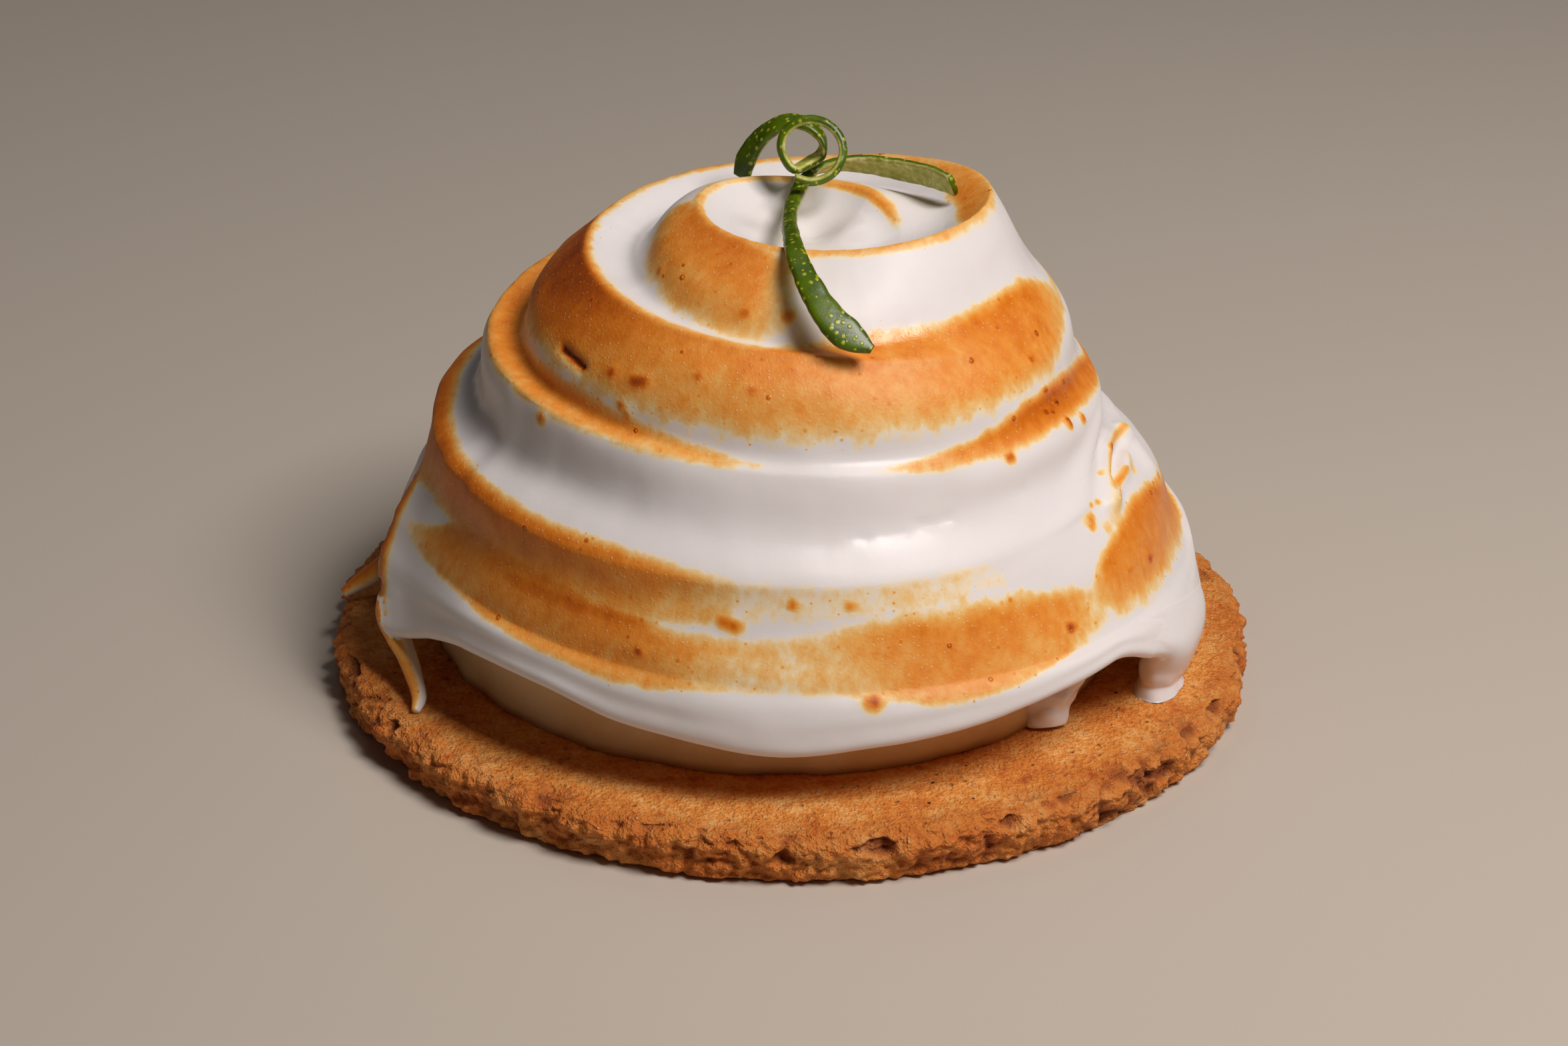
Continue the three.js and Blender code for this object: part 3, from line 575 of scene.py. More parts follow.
def band(azimuth, turn, crest_turn, fades, knots, edge):
    """How browned one band leaves each point."""
    where, *rest = np.array(knots, float).T
    found = np.zeros_like(turn)
    for lap in (0, 360):
        here = azimuth + lap
        line = here / 360 - 0.5 + crest_turn
        upper, lower, strength = (np.interp(here, where, values / 100) for values in rest)
        top = line + upper
        bottom = line + lower
        wide = bottom - top
        soft = np.minimum(edge, 0.35 * wide)
        fade_in, fade_out = (np.maximum(fade * wide, soft) for fade in fades)
        cover = over(turn, top - soft, top + fade_in, bottom - fade_out, bottom + soft)
        inside = (here >= where[0]) & (here <= where[-1])
        down = np.clip((turn - top) / wide, 0, 1)
        heat = cover * strength * (TOP_HEAT - HEAT_DROP * down)
        found = np.maximum(found, np.where(inside, heat, 0))
    return found


def browned(azimuth, turn, edge):
    return np.maximum.reduce([band(azimuth, turn, *row[1:], edge) for row in BANDS])


def marked(points):
    """How browned and how far out the single marks leave each point."""
    heat = np.zeros(points.shape[:-1])
    rise = np.zeros(points.shape[:-1])
    spots = [([(azimuth, turn)], *rest) for azimuth, turn, *rest in SPOTS]
    for line, half, brown, out in FOLDS + spots:
        azimuth, turn = np.array(line, float).T
        share = np.exp(-(far_from(points, spun(azimuth % 360, turn)) / half) ** 2)
        heat = np.maximum(heat, brown * share)
        rise += out * share
    return heat, rise


def dome_profile(rise, clearance):
    radius = MOUSSE["radius"] + clearance
    return radius * np.cos(rise), BISCUIT["thickness"] + radius * np.sin(rise)


def below_hem(azimuth, row):
    """The rounded lip of the hem, the way in under it, and the vault over the mousse."""
    radius, height = hem(azimuth)
    outer = radius + fin_reach(azimuth, height)
    quarter = np.clip((row - LIP_START) / LIP_ROWS, 0, 1) * np.pi / 2
    inwards = HEM_LIP * (1 - np.cos(quarter))
    lip = polar(azimuth, outer - inwards, height + HEM_LIP * (1 - np.sin(quarter)))
    inner = polar(azimuth, radius - HEM_UNDER["inset"], height + HEM_UNDER["rise"])
    rise = np.arcsin((height + HEM_UNDER["contact"] - BISCUIT["thickness"]) / MOUSSE["radius"])
    climb = np.clip((row - UNDER_START - 2) / (UNDER_ROWS - 2), 0, 1)
    vault = polar(azimuth, *dome_profile(mix(rise, np.pi / 2, climb), COAT_GAP)) + MOUSSE["at"]
    edge = mix(lip, inner, np.clip(row - UNDER_START, 0, 1)[..., None])
    return mix(edge, vault, np.clip(row - UNDER_START - 1, 0, 1)[..., None])


def along_turns(azimuth, turn, kind):
    """Noise that runs round with the spatula and fades out towards the crater."""
    place = polar(azimuth, kind["radius"], turn * kind["turns"])
    return relief(place, 1.0, kind["seed"]) * smooth(turn, 0, 1)


def waver(points, azimuth, turn):
    left = np.exp(-(turn_from(JUDDER_LEFT["azimuth"], azimuth) / JUDDER_LEFT["half"]) ** 2)
    left = left * over(turn, *JUDDER_LEFT["turns"])
    judder = along_turns(azimuth, turn, JUDDER) * (JUDDER["least"] + JUDDER["left"] * left)
    streaks = STREAKS["amount"] * along_turns(azimuth, turn, STREAKS)
    return layered(points, SWEEP) + judder + streaks


def coat_looks(points, azimuth, turn, row, mark_heat):
    """How browned the coat is, with a painted warm glow under the lip, how near to a browned place,
    and how wet.
    """
    line, reach = fin_line(points[..., 2])
    off = turn_from(line, azimuth) - FIN_BROWN["off"]
    fin = np.exp(-(off / FIN_BROWN["half"]) ** 2) * np.clip(reach, 0, FIN_BROWN["most"])
    on_skin = row <= LIP_START
    flame = np.maximum(browned(azimuth, turn, BAND_EDGE) * HEAT_OF_BAND, mark_heat) * on_skin
    # The underside of the lip gets the painted warm glow, in the toast colours.
    toast = np.maximum.reduce([flame, fin * (row < UNDER_START), PAINTED_LIP_GLOW * over(row, *LIP_GLOW_ROWS)])
    halo = np.maximum(browned(azimuth, turn, HALO_EDGE) * on_skin, fin)

    phase = azimuth / 360 - 0.5
    lower = phase + np.ceil(turn - phase)
    groove = wave(turn - lower + 1, np.clip(ridge(LOW, lower), 0.2, 0.9))
    groove = groove * (turn > 0) * (turn < LAST_CREST)
    crater = 1 - smooth(turn, FIRST_CREST - 0.1, FIRST_CREST + 0.5)
    drip = drip_share(azimuth) * smooth(turn, 3.6, 4.6)
    wet = np.clip(np.maximum.reduce([crater, 0.7 * groove ** 3, drip]), 0, 1)
    return {"toast": toast, "halo": halo, "wet": wet}


def meringue_form():
    """Every point of the coat, and its looks there."""
    azimuth, row = rings(COLUMNS, ROWS)
    turn = np.interp(row, [0, BOWL_ROWS, LIP_START], [CRATER["centre_turn"], FIRST_CREST, HEM_TURN])
    turn = snapped(azimuth, turn, (HEM_TURN - FIRST_CREST) / TURN_ROWS)

    skin = spun(azimuth, turn)
    mark_heat, mark_rise = marked(skin)
    reach = fin_reach(azimuth, skin[..., 2]) + pinch_reach(azimuth, skin[..., 2])
    skin = skin + polar(azimuth, reach, 0 * reach)
    points = np.where((row <= LIP_START)[..., None], skin, below_hem(azimuth, row))

    rolled = 0.5 * over(row, *ROLLED_ROWS)[..., None]
    for _ in range(HEM_ROLLS):
        even = (np.roll(points, 1, axis=0) + np.roll(points, -1, axis=0)) / 2
        points = mix(points, even, rolled)
    outside = 1 - smooth(row, LIP_START + LIP_ROWS * 0.5, UNDER_START)
    wobble = waver(points, azimuth, turn) * smooth(row, 2, BOWL_ROWS) + mark_rise
    points = points + normals_of(points) * (wobble * outside)[..., None]
    return points, coat_looks(points, azimuth, turn, row, mark_heat)


def strand(name, shape, columns=28, rows=40, ragged=0.0):
    """A strand of meringue along a route, flatter one way, with a rounded end."""
    around, along = grid_shares(columns, rows)
    share = np.clip((along * rows - 1) / (rows - 2), 0, 1)
    ahead = heading(shape["route"], share)
    across = square_to(unit(np.array(shape["across"], float)), ahead)
    face = np.cross(ahead, across)
    knots = np.linspace(0, 1, len(shape["wide"]))
    closed = (along > 0) & (along < 1)
    angle = around * 2 * np.pi
    wide = np.interp(share, knots, shape["wide"]) * closed * np.cos(angle)
    thin = np.interp(share, knots, shape["thin"]) * closed * np.sin(angle)
    out = across * wide[..., None] + face * thin[..., None]
    points = along_points(shape["route"], share) + out
    rough = relief(points, RAGGED["size"], RAGGED["seed"]) * ragged * closed
    points = points + unit(out) * rough[..., None]
    side, strength = shape["brown"]
    toast = strength * smooth(unit(out) @ unit(np.array(side, float)), -0.6, 0.9)
    looks = {"toast": toast, "halo": toast, "wet": STRAND_WET * (1 - toast)}
    return shell(name, columns, rows, points, looks)


def joined(base, others):
    """One solid from several that overlap."""
    scrap = bpy.data.collections.new("scrap")
    for other in others:
        scrap.objects.link(other)
    union = base.modifiers.new("union", "BOOLEAN")
    union.operation = "UNION"
    union.operand_type = "COLLECTION"
    union.collection = scrap
    union.solver = "MANIFOLD"
    depsgraph = bpy.context.evaluated_depsgraph_get()
    base.data = bpy.data.meshes.new_from_object(base.evaluated_get(depsgraph))
    base.modifiers.clear()
    for other in others:
        bpy.data.objects.remove(other)
    bpy.data.collections.remove(scrap)
    return base


def softened(piece, places):
    """Rounds a piece near a few places."""
    bm = bmesh.new()
    bm.from_mesh(piece.data)
    where = np.array([v.co for v in bm.verts]) / MM
    every_way = {"use_axis_x": True, "use_axis_y": True, "use_axis_z": True}
    for centre, reach, times in places:
        inside = np.linalg.norm((where - centre) / reach, axis=-1) < 1
        near = [v for v, use in zip(bm.verts, inside) if use]
        for _ in range(times):
            bmesh.ops.smooth_vert(bm, verts=near, factor=0.5, **every_way)
    for face in bm.faces:
        face.smooth = True
    bm.to_mesh(piece.data)
    bm.free()


def meringue():
    points, looks = meringue_form()
    coat = shell("meringue_coat", COLUMNS, ROWS, points, looks)
    strands = [strand("tail", TAIL), strand("spur", SPUR), strand("foot", FOOT, 44, 44, 0.25)]
    coat = joined(coat, strands)
    softened(coat, CORNERS)
    return coat


# ----------------mousse

MOUSSE_COLUMNS = 144
MOUSSE_ROWS = 60
MOUSSE_BUMPS = [((6, 6, 9), 5.5, 0.18)]
FOOT_BUMPS = [((3, 3, 3), 2.2, 0.35)]
FOOT_HEIGHT = 1.6


def mousse():
    """The dome, uneven at its foot."""
    azimuth, row = rings(MOUSSE_COLUMNS, MOUSSE_ROWS)
    rise = np.clip((row - 2) / (MOUSSE_ROWS - 2), 0, 1) * np.pi / 2
    radius, height = dome_profile(rise, 0)
    points = polar(azimuth, radius * np.clip(row, 0, 1), height)
    foot = np.exp(-((height - BISCUIT["thickness"]) / FOOT_HEIGHT) ** 2)
    bumps = layered(points, MOUSSE_BUMPS) + foot * layered(points, FOOT_BUMPS)
    side = np.cos(rise) * (row >= 1)
    points = points + polar(azimuth, bumps * side, 0 * side) + MOUSSE["at"]
    return shell("mousse_dome", MOUSSE_COLUMNS, MOUSSE_ROWS, points)


# ----------------shortbread

BISCUIT_COLUMNS = 1000
BISCUIT_ROWS = 92

# The broken rim, in layers of noise: broad lumps, clumps of crumb, and single grains. It is set in
# so that the lumps stay inside the outline, and bigger chips are missing here and there.
LUMPS = [((14, 14, 7), 1.7, 0.40), (3.2, 9.3, 0.55)]
CLUMPS = [(1.9, 4.2, 0.50), (1.0, 8.8, 0.42)]
GRAINS = [(0.6, 2.9, 0.25)]
SET_IN = 0.62
CHIP = {"size": (4, 4, 2.2), "seed": 21.3, "depth": 1.2}
SAND = [(7.0, 6.1, 0.10), (1.3, 3.3, 0.10), (0.7, 13.3, 0.06)]


def biscuit():
    """The sandy disc. Its broken rim is geometry down to crumbs of about a millimetre."""
    azimuth, row = rings(BISCUIT_COLUMNS, BISCUIT_ROWS)
    radius, thick = BISCUIT["radius"], BISCUIT["thickness"]
    rows, radii, heights = np.array([
        (0, 0.0, 0.0), (1, radius - 5.0, 0.0), (3, radius - 1.5, 0.0), (7, radius - 0.5, 0.6),
        (29, radius, thick - 1.4), (35, radius - 0.7, thick - 0.5), (39, radius - 1.8, thick - 0.1),
        (66, radius - 8.0, thick - 0.08), (88, 31.0, thick - 0.08), (91, 24.0, thick - 0.1),
        (BISCUIT_ROWS, 0.0, thick - 0.1),
    ]).T
    ring = np.interp(row, rows, radii)
    height = np.interp(row, rows, heights)
    points = polar(azimuth, ring, height)

    side = smooth(ring, radius - 2.2, radius - 0.7)
    rim = smooth(ring, radius - 5.0, radius - 0.8) * smooth(height, -0.1, 0.5)
    lumps = layered(points, LUMPS)
    clumps = layered(points, CLUMPS, crumbs) + layered(points, GRAINS)
    chips = smooth(relief(points, CHIP["size"], CHIP["seed"]), 0.18, 0.5)
    push = lumps + clumps - SET_IN - chips * CHIP["depth"]
    on_top = smooth(height, thick - 0.6, thick - 0.1) * smooth(ring, 26.0, 30.0)
    sand = layered(points, SAND)
    across = push * side * smooth(height, -0.1, 0.4)
    up = (push * 0.32 + lumps * 0.25) * rim * on_top + sand * on_top
    points = points + polar(azimuth, across, up)
    points[..., 2] = np.clip(points[..., 2], 0, thick)
    reach = np.hypot(points[..., 0], points[..., 1])
    fitted = np.minimum(reach, BISCUIT["reach"]) / np.maximum(reach, 1e-9)
    points[..., :2] *= fitted[..., None]
    # Painted shade: the hollows of the sand on top and the recesses of the broken rim are darkened
    # in colour.
    hollows = 0.5 * smooth(-sand, 0.08, 0.16) * on_top
    recess_shade = smooth(-push, 0.25, 1.0) * np.maximum(side, 0.8 * rim) + hollows
    looks = {"recess_shade": recess_shade, "rim": np.maximum(side, rim)}
    return shell("shortbread", BISCUIT_COLUMNS, BISCUIT_ROWS, points, looks)


# ----------------lime peel

# The section of a strip has two flat faces and two short sides: at these steps round it, how far to
# the side and how far up it is, as shares.
SECTION_STEPS = [0, 2, 12, 14, 16, 26, 28]
SECTION_SIDE = [1, 1, -1, -1, -1, 1, 1]
SECTION_UP = [0, 1, 1, 0, -1, -1, 0]


def coil_places():
    """The coil is a helix that comes forward, seen end on from the front and a little above."""
    share = np.linspace(0, 1, COIL["places"])
    angle = np.radians(mix(COIL["start"], COIL["end"], share))
    tilt = math.radians(COIL["tilt"])
    up = COIL["radius"] * COIL["squash"] * np.sin(angle)
    x = COIL["x"] + COIL["radius"] * np.cos(angle)
    y = COIL["y"] + mix(COIL["back"], COIL["front"], share) + up * math.sin(tilt)
    z = COIL["z"] + up * math.cos(tilt)
    wide = mix(*COIL["wide"], share)
    return [((a, b, c), (0.0, 1.0, -0.25), w) for a, b, c, w in zip(x, y, z, wide)]


def peel(name, places, steps):
    """A cut strip with its rind on one face, its pith on the other and slightly soft corners."""
    columns, rows = SECTION_STEPS[-1], steps + 4
    around, along = grid_shares(columns, rows)
    share = np.clip((along * rows - 2) / (rows - 4), 0, 1)
    middles, ways, widths = zip(*places)
    centre = along_points(middles, share)
    tangent = heading(middles, share, 0.004)
    across = square_to(along_points(ways, share), tangent)
    face = np.cross(tangent, across)
    wide = along_points([[w] for w in widths], share)[..., 0]

    lap = np.rint(around * columns)
    side = np.interp(lap, SECTION_STEPS, SECTION_SIDE)
    up = np.interp(lap, SECTION_STEPS, SECTION_UP)
    corner = PEEL["round"] * np.clip(np.abs(side) * np.abs(up), 0, 1) ** 6
    waver = PEEL["waver"] * relief(centre + across * side[..., None], 0.9, 2.5)
    half = wide / 2 + waver - corner
    deep = PEEL["thickness"] / 2 - corner * 0.5
    dish = PEEL["dish"] * (side ** 2 - 0.4)
    size = np.clip(np.minimum(along, 1 - along) * rows, 0, 1)
    out = across * (side * half * size)[..., None] + face * ((up * deep - dish) * size)[..., None]
    return shell(name, columns, rows, centre + out, {"depth": 0.5 - 0.5 * up})


# ----------------materials


def linear(hex_colour):
    """An sRGB hex colour as linear red, green, blue and alpha."""
    parts = [int(hex_colour[i:i + 2], 16) / 255 for i in (1, 3, 5)]
    return [p / 12.92 if p <= 0.04045 else ((p + 0.055) / 1.055) ** 2.4 for p in parts] + [1.0]


class Recipe:
    """A material in the making: its shader, and the nodes that its patterns are made of."""

    def __init__(self, name, settings):
        self.material = bpy.data.materials.new(name)
        self.material.use_nodes = True
        self.tree = self.material.node_tree
        self.tree.nodes.clear()
        self.shader = self.node("BsdfPrincipled", settings)
        self.node("OutputMaterial", None, {"Surface": self.shader.outputs[0]})
        self.place = self.node("TexCoord").outputs["Object"]

    def node(self, kind, settings=None, links=None):
        """Adds a node. A small letter starts a property. A capital or a number is a socket."""
        made = self.tree.nodes.new("ShaderNode" + kind)
        for key, value in (settings or {}).items():
            if isinstance(key, str) and key[0].islower():
                setattr(made, key, value)
            else:
                made.inputs[key].default_value = value
        for key, socket in (links or {}).items():
            self.tree.links.new(socket, made.inputs[key])
        return made

    def feed(self, made, key, value):
        """Gives a socket a number, a hex colour or the output of another node."""
        if isinstance(value, (int, float)):
            made.inputs[key].default_value = value
        elif isinstance(value, str):
            made.inputs[key].default_value = linear(value)
        else:
            self.tree.links.new(value, made.inputs[key])

    def maths(self, operation, *values, clamp=False):
        made = self.node("Math", {"operation": operation, "use_clamp": clamp})
        for index, value in enumerate(values):
            self.feed(made, index, value)
        return made.outputs[0]

    def times(self, a, b, clamp=False):
        return self.maths("MULTIPLY", a, b, clamp=clamp)

    def times_plus(self, a, b, c):
        """a times b, plus c."""
        return self.maths("MULTIPLY_ADD", a, b, c)

    def minus(self, a, b):
        return self.maths("SUBTRACT", a, b)

    def above(self, a, b):
        """1 where a is above b, and 0 elsewhere."""
        return self.maths("GREATER_THAN", a, b)

    def attribute(self, name):
        return self.node("Attribute", {"attribute_name": name}).outputs["Fac"]

    def clouds(self, size, detail=3.0, roughness=0.5, place=None):
        """Noise whose features are that many millimetres across."""
        settings = {"Scale": 1 / (size * MM), "Detail": detail, "Roughness": roughness}
        made = self.node("TexNoise", settings, {"Vector": place or self.place})
        return made.outputs["Fac"]

    def cells(self, size):
        """The distance to the nearest of many scattered points, and two random numbers for it."""
        settings = {"Scale": 1 / (size * MM)}
        made = self.node("TexVoronoi", settings, {"Vector": self.place})
        chance = self.node("SeparateColor", None, {0: made.outputs["Color"]})
        return made.outputs["Distance"], chance.outputs[0], chance.outputs[1]

    def ranged(self, value, settings, links=None):
        links = {"Value": value, **(links or {})}
        return self.node("MapRange", settings, links).outputs[0]

    def disc(self, distance, radius, soft=0.45):
        """1 inside a radius, in cells, and 0 outside, with a soft edge."""
        inner = self.times(radius, 1 - soft)
        outer = self.maths("ADD", radius, 0.001)
        limits = {"From Min": inner, "From Max": outer}
        return self.ranged(distance, {"To Min": 1.0, "To Max": 0.0}, limits)

    def dots(self, size, radius, rarity, soft=0.45):
        """Round dots in some of many cells: the rarer, the nearer to 1 the rarity."""
        distance, chance, _ = self.cells(size)
        return self.times(self.disc(distance, radius, soft), self.above(chance, rarity))

    def ramp(self, value, stops):
        """A colour ramp over a value."""
        made = self.node("ValToRGB", None, {"Fac": value})
        elements = made.color_ramp.elements
        while len(elements) < len(stops):
            elements.new(0.5)
        for element, (place, colour) in zip(elements, stops):
            element.position = place
            element.color = linear(colour)
        return made.outputs["Color"]

    def blended(self, share, a, b):
        """Two colours, or a colour and a socket, mixed by a share."""
        made = self.node("Mix", {"data_type": "RGBA", "blend_type": "MIX"})
        for index, value in ((0, share), (6, a), (7, b)):
            self.feed(made, index, value)
        return made.outputs[2]

    def bump(self, height, strength, distance):
        settings = {"Strength": strength, "Distance": distance}
        return self.node("Bump", settings, {"Height": height}).outputs[0]

    def wired(self, links):
        """Wires the patterns to the shader and gives the material."""
        for key, socket in links.items():
            self.tree.links.new(socket, self.shader.inputs[key])
        return self.material


def toasted_meringue():
    """Italian meringue, spun and blowtorched: cooked egg-white foam, so dense and satiny that it
    shines where the spatula smoothed it. The flame caramelised its sugar: amber on the ridges, and
    towards the white a stipple of fine dots, where single bubbles caught. Larger bubbles
    blistered."""
    m = Recipe("toasted_italian_meringue", {
        "Subsurface Radius": (1.0, 0.72, 0.5), "Subsurface Scale": 0.0018, "IOR": 1.45,
    })
    toast, halo, wet = (m.attribute(name) for name in ("toast", "halo", "wet"))

    # Noise frays the edges of the bands, and mottles them inside.
    tall = m.node("Mapping", {"Scale": (1.0, 1.0, 0.7)}, {"Vector": m.place}).outputs[0]
    tongues = m.minus(m.clouds(1.6, 3.0, place=tall), 0.5)
    frayed = m.minus(m.clouds(0.7, 2.0, place=tall), 0.5)
    cloud = m.minus(m.clouds(4.0, 2.0), 0.5)
    uneven = m.times_plus(frayed, 0.3, m.times_plus(tongues, 0.5, m.times(cloud, 0.3)))
    inside = m.times(toast, 1.2, clamp=True)
    edge = m.times(m.times(halo, 2.0, clamp=True), m.minus(1.0, inside))
    heat = m.times_plus(m.times_plus(uneven, 1.3, -0.10), edge, toast)
    heat = m.times_plus(m.times(uneven, 0.45), inside, heat)

    # The stipple: dots that shrink away from the band.
    distance, chance, _ = m.cells(0.85)
    radius = m.maths("MINIMUM", m.minus(m.times(halo, 0.5), m.times(chance, 0.45)), 0.40)
    stipple = m.times(m.disc(distance, radius), m.above(radius, 0.03))
    fading = {"From Min": 0.60, "From Max": 0.15, "To Min": 0.0, "To Max": 0.42}
    heat = m.times_plus(stipple, m.ranged(toast, fading), heat)

    # Browner specks inside the band.
    distance, chance, pick = m.cells(1.5)
    size = m.times_plus(pick, 0.10, 0.10)
    picked = m.times(m.above(chance, 0.62), m.times(toast, 1.5, clamp=True))
    heat = m.times_plus(m.times(m.disc(distance, size, 0.7), picked), 0.20, heat)

    # Blisters, with a dark ring of browning and a pale heart, which is a painted highlight on the
    # blister's dome.
    distance, chance, pick = m.cells(2.1)
    size = m.times_plus(pick, 0.08, 0.12)
    picked = m.times(m.above(chance, 0.74), m.above(toast, 0.36))
    spot = m.times(m.disc(distance, size, 0.5), picked)
    pale_heart_highlight = m.times(m.disc(distance, m.times(size, 0.55), 0.7), picked)
    heat = m.times_plus(pale_heart_highlight, -0.50, m.times_plus(spot, 0.42, heat))

    tone = m.ramp(m.times(heat, 1 / 1.5, clamp=True), [
        (0.0, "#ECE7E6"), (0.06, "#ECE7E6"), (0.12, "#F8E6C6"), (0.20, "#F6CF8C"),
        (0.30, "#F3B25A"), (0.41, "#EE9434"), (0.52, "#DE781A"), (0.63, "#BE580C"),
        (0.78, "#7C3406"), (1.0, "#2A1204"),
    ])
    crust = m.times(heat, 1.6, clamp=True)
    # Painted glints: tiny dots on the crust, lightened towards cream in colour to stand in for
    # sparkles of light, and raised in the bump too.
    painted_glint = m.times(m.dots(0.42, 0.30, 0.72), crust)
    rough = m.times_plus(crust, 0.06, m.times_plus(wet, -0.36, 0.46))
    grit = m.times_plus(painted_glint, 0.6, m.clouds(0.32, 2.0, 0.6))
    height = m.times_plus(grit, m.times(crust, 0.42), m.times(m.clouds(2.4, 2.0), 0.30))
    return m.wired({
        "Base Color": m.blended(m.times(painted_glint, 0.30), tone, "#F6DDB0"),
        "Roughness": m.times_plus(spot, -0.25, rough),
        "Normal": m.bump(m.times_plus(spot, 0.55, height), 0.6, 0.00022),
        "Subsurface Weight": m.times_plus(crust, -0.20, 0.25),
    })


def shortbread():
    """Baked butter shortbread: a matt, sandy top of golden orange with tan and rust flecks, and a
    broken edge whose crumb is browner, with painted shade in its hollows and pits, and pale sugar
    grains."""
    m = Recipe("baked_shortbread", {
        "Roughness": 0.72, "Subsurface Weight": 0.08, "Subsurface Scale": 0.001,
    })
    mottle = m.clouds(1.6, 4.0, 0.7)
    grain = m.clouds(0.45, 2.0, 0.6)
    tone = m.times_plus(m.clouds(6.0, 3.0), 0.40, m.times(mottle, 0.35))
    colour = m.ramp(m.times_plus(grain, 0.25, tone), [
        (0.36, "#BA5C16"), (0.44, "#DA7E2C"), (0.51, "#E8953E"), (0.58, "#F4B162"),
        (0.68, "#FACB88"),
    ])
    distance, chance, _ = m.cells(2.1)
    wavy = m.times_plus(m.minus(mottle, 0.5), 0.7, distance)
    fleck = m.times(m.disc(wavy, 0.30, 0.7), m.above(chance, 0.62))
    distance, chance, _ = m.cells(3.6)
    dust = m.times(m.maths("LESS_THAN", distance, 0.05), m.above(chance, 0.6))
    # Pits: dents in the bump, also painted darker as shade.
    pits_painted_dark = m.dots(1.3, 0.22, 0.70, 0.6)
    sugar = m.dots(0.7, 0.30, 0.78)
    # Flecks, dark specks, sugar and the browner rim are the shortbread's own colour; the pits and
    # the recesses are painted shade.
    for where, share, over_it in (
        (fleck, 0.6, "#B4541A"), (pits_painted_dark, 0.55, "#7E3C10"), (dust, 1.0, "#1E0E05"),
        (sugar, 0.45, "#F8DCAE"), (m.attribute("rim"), 0.40, "#C2600F"),
        (m.attribute("recess_shade"), 0.75, "#7A2E04"),
    ):
        colour = m.blended(m.times(where, share), colour, over_it)

    height = m.times_plus(m.clouds(0.22, 2.0, 0.6), 0.6, m.times_plus(sugar, 0.4, grain))
    height = m.times_plus(m.clouds(0.9, 2.0, 0.5), 0.5, height)
    height = m.times_plus(pits_painted_dark, -0.6, height)
    return m.wired({"Base Color": colour, "Normal": m.bump(height, 0.9, 0.00045)})


def lemon_mousse():
    """Set lemon mousse: smooth, pale cream, soft enough that light goes a little way in."""
    m = Recipe("set_lemon_mousse", {
        "Roughness": 0.42, "Subsurface Weight": 0.3, "Subsurface Radius": (1.0, 0.7, 0.4),
        "Subsurface Scale": 0.002,
    })
    return m.wired({
        "Base Color": m.ramp(m.clouds(7.0), [(0.35, "#E6C488"), (0.65, "#F1D8A8")]),
        "Normal": m.bump(m.clouds(1.1), 0.4, 0.00015),
    })


def lime_peel():
    """Cut lime peel: oily, dark olive green rind full of paler oil glands, and damp, fibrous pith
    of a greenish cream."""
    m = Recipe("fresh_lime_peel", {"Subsurface Weight": 0.1, "Subsurface Scale": 0.0006})
    inside = m.ranged(m.attribute("depth"), {"From Min": 0.5, "From Max": 0.7})
    distance, chance, _ = m.cells(0.62)
    gland = m.disc(distance, m.times_plus(chance, 0.34, 0.14), 0.5)
    rind = m.ramp(m.clouds(3.0), [(0.35, "#3E5602"), (0.65, "#5C7404")])
    rind = m.blended(m.times(gland, 0.85), rind, "#B8BE24")
    fibre = m.clouds(0.8, 4.0, 0.65)
    pith = m.ramp(fibre, [(0.32, "#9AA03A"), (0.52, "#BCBC5C"), (0.70, "#E2DEA0")])
    dimple = m.times_plus(gland, 0.5, m.times(fibre, 0.5))
    return m.wired({
        "Base Color": m.blended(inside, rind, pith),
        "Roughness": m.times_plus(inside, 0.15, 0.33),
        "Normal": m.bump(dimple, 0.5, 0.00012),
    })


def pale_surface():
    """A plain matt studio surface."""
    settings = {"Base Color": linear("#C6BCAF"), "Roughness": 0.75}
    return Recipe("studio_surface", settings).material


# ----------------studio

VIEW = {"height": 26.0, "roll": 1.1, "angle": 24.0, "distance": 376.0, "at": (-0.94, 0.0, 14.7)}
FLOOR_SIZE = 1.5
SKY = {"colour": "#F5EEE8", "strength": 0.02}

# Each softbox has a name, a place, what it is turned to, its width and height, power and colour.
SOFTBOXES = [
    ("key", (220, -168, 444), (0, 0, 20), (190, 240), 2.38, "#FFF7F3"),
    ("top", (-60, 230, 420), (0, 0, 25), (260, 140), 0.08, "#FFFFFF"),
    ("fill", (-380, -320, 200), (0, 0, 20), (300, 300), 0.02, "#FFE6D2"),
]


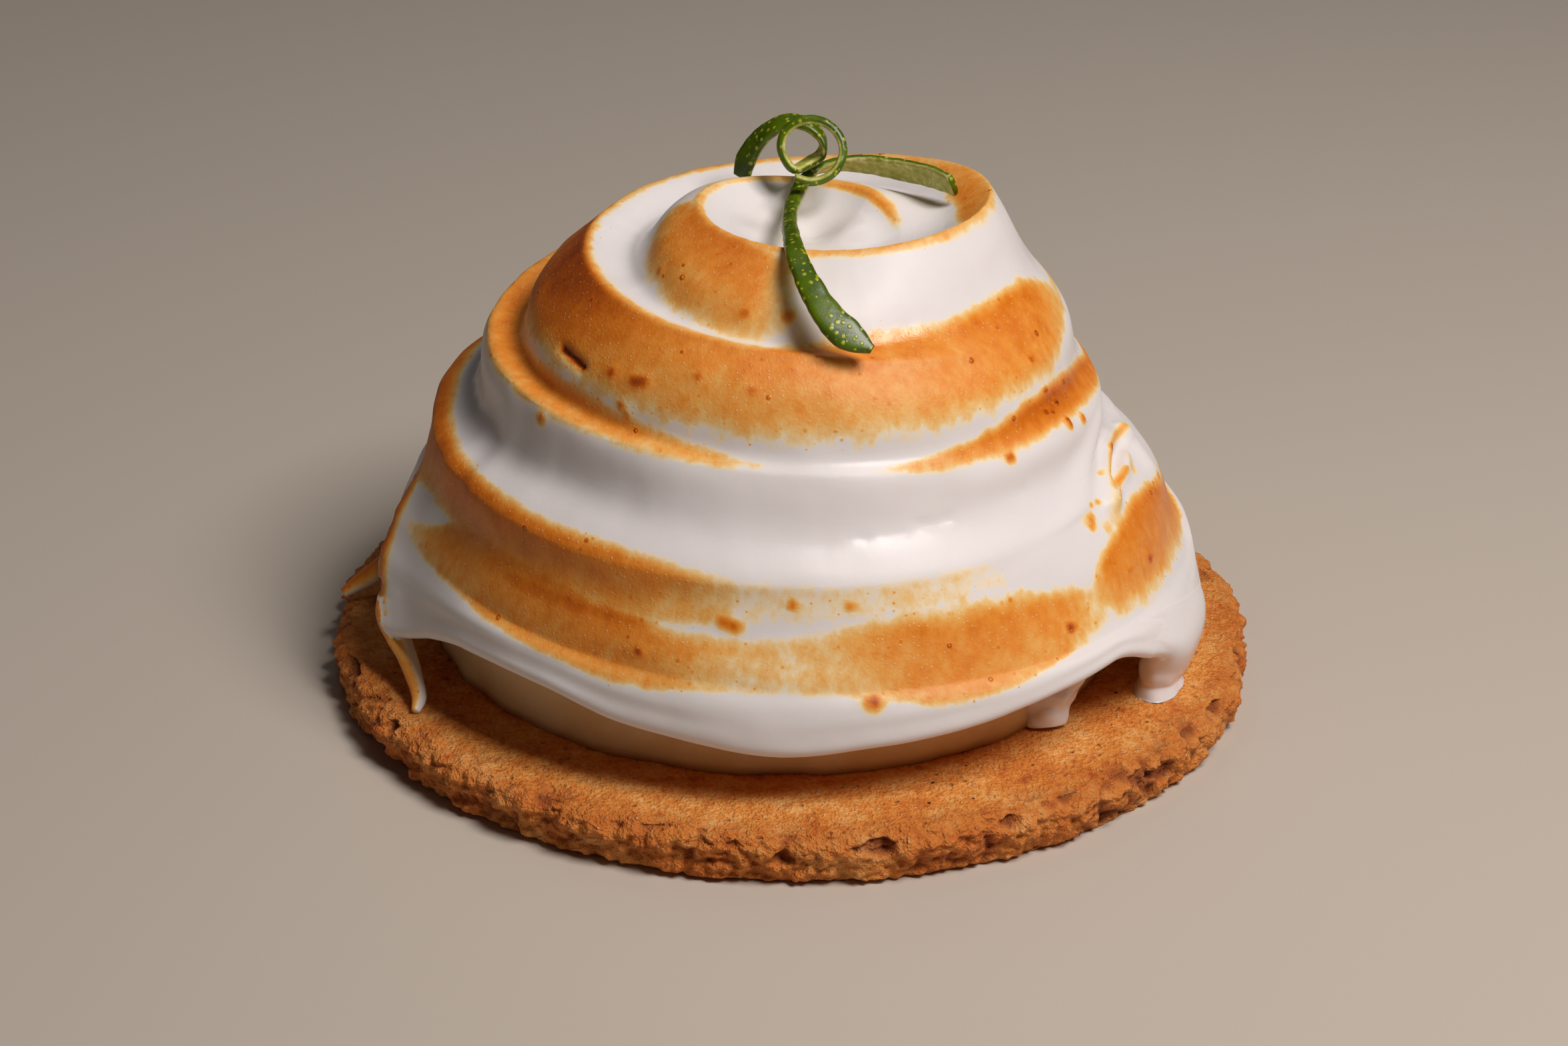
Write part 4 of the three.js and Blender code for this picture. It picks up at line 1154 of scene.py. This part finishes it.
def camera():
    data = bpy.data.cameras.new("camera")
    data.angle = math.radians(VIEW["angle"])
    data.clip_start = 0.01
    made = placed("camera", data)
    rise = math.radians(VIEW["height"])
    roll = math.radians(VIEW["roll"])
    ahead = Vector((0, math.cos(rise), -math.sin(rise)))
    side = ahead.cross(Vector((0, 0, 1))).normalized()
    up = side.cross(ahead)
    turned_side = math.cos(roll) * side + math.sin(roll) * up
    turned_up = math.cos(roll) * up - math.sin(roll) * side
    place = Matrix((turned_side, turned_up, -ahead)).transposed().to_4x4()
    place.translation = (Vector(VIEW["at"]) - ahead * VIEW["distance"]) * MM
    made.matrix_world = place
    bpy.context.scene.camera = made


def softbox(name, place, target, size, power, colour):
    data = bpy.data.lights.new(name, "AREA")
    data.shape = "RECTANGLE"
    data.size, data.size_y = size[0] * MM, size[1] * MM
    data.energy = power
    data.color = linear(colour)[:3]
    made = placed(name, data)
    made.location = Vector(place) * MM
    made.rotation_euler = (Vector(target) - Vector(place)).to_track_quat("-Z", "Y").to_euler()


def studio():
    camera()
    for row in SOFTBOXES:
        softbox(*row)
    world = bpy.data.worlds.new("studio")
    world.use_nodes = True
    sky = world.node_tree.nodes["Background"]
    sky.inputs["Color"].default_value = linear(SKY["colour"])
    sky.inputs["Strength"].default_value = SKY["strength"]
    bpy.context.scene.world = world
    bpy.context.scene.view_settings.view_transform = "Standard"

    bm = bmesh.new()
    bmesh.ops.create_grid(bm, x_segments=2, y_segments=2, size=FLOOR_SIZE)
    floor = finished("studio_floor", bm)
    floor.data.materials.append(pale_surface())


# ----------------the cake


def dress(piece, material, slot, *replaced):
    piece.data.materials.clear()
    piece.data.materials.append(material)
    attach(piece, BODY)
    if replaced:
        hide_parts(*replaced)


studio()
foam = toasted_meringue()
zest = lime_peel()
dress(biscuit(), shortbread(), "shortbread", "biscuit")
dress(mousse(), lemon_mousse(), "lemon_mousse", "lemon_mousse")
dress(strand("meringue_squeezed", SQUEEZED, 36, 40, 0.5), foam, "toasted_meringue")
dress(strand("meringue_smear", SMEAR, 28, 24, 0.4), foam, "toasted_meringue")
dress(meringue(), foam, "toasted_meringue", "meringue")
dress(peel("peel_curl", CURL_TAIL + coil_places(), 190), zest, "lime_peel", "lime_curl")
dress(peel("peel_ribbon", RIBBON, 170), zest, "lime_peel", "lime_ribbon")
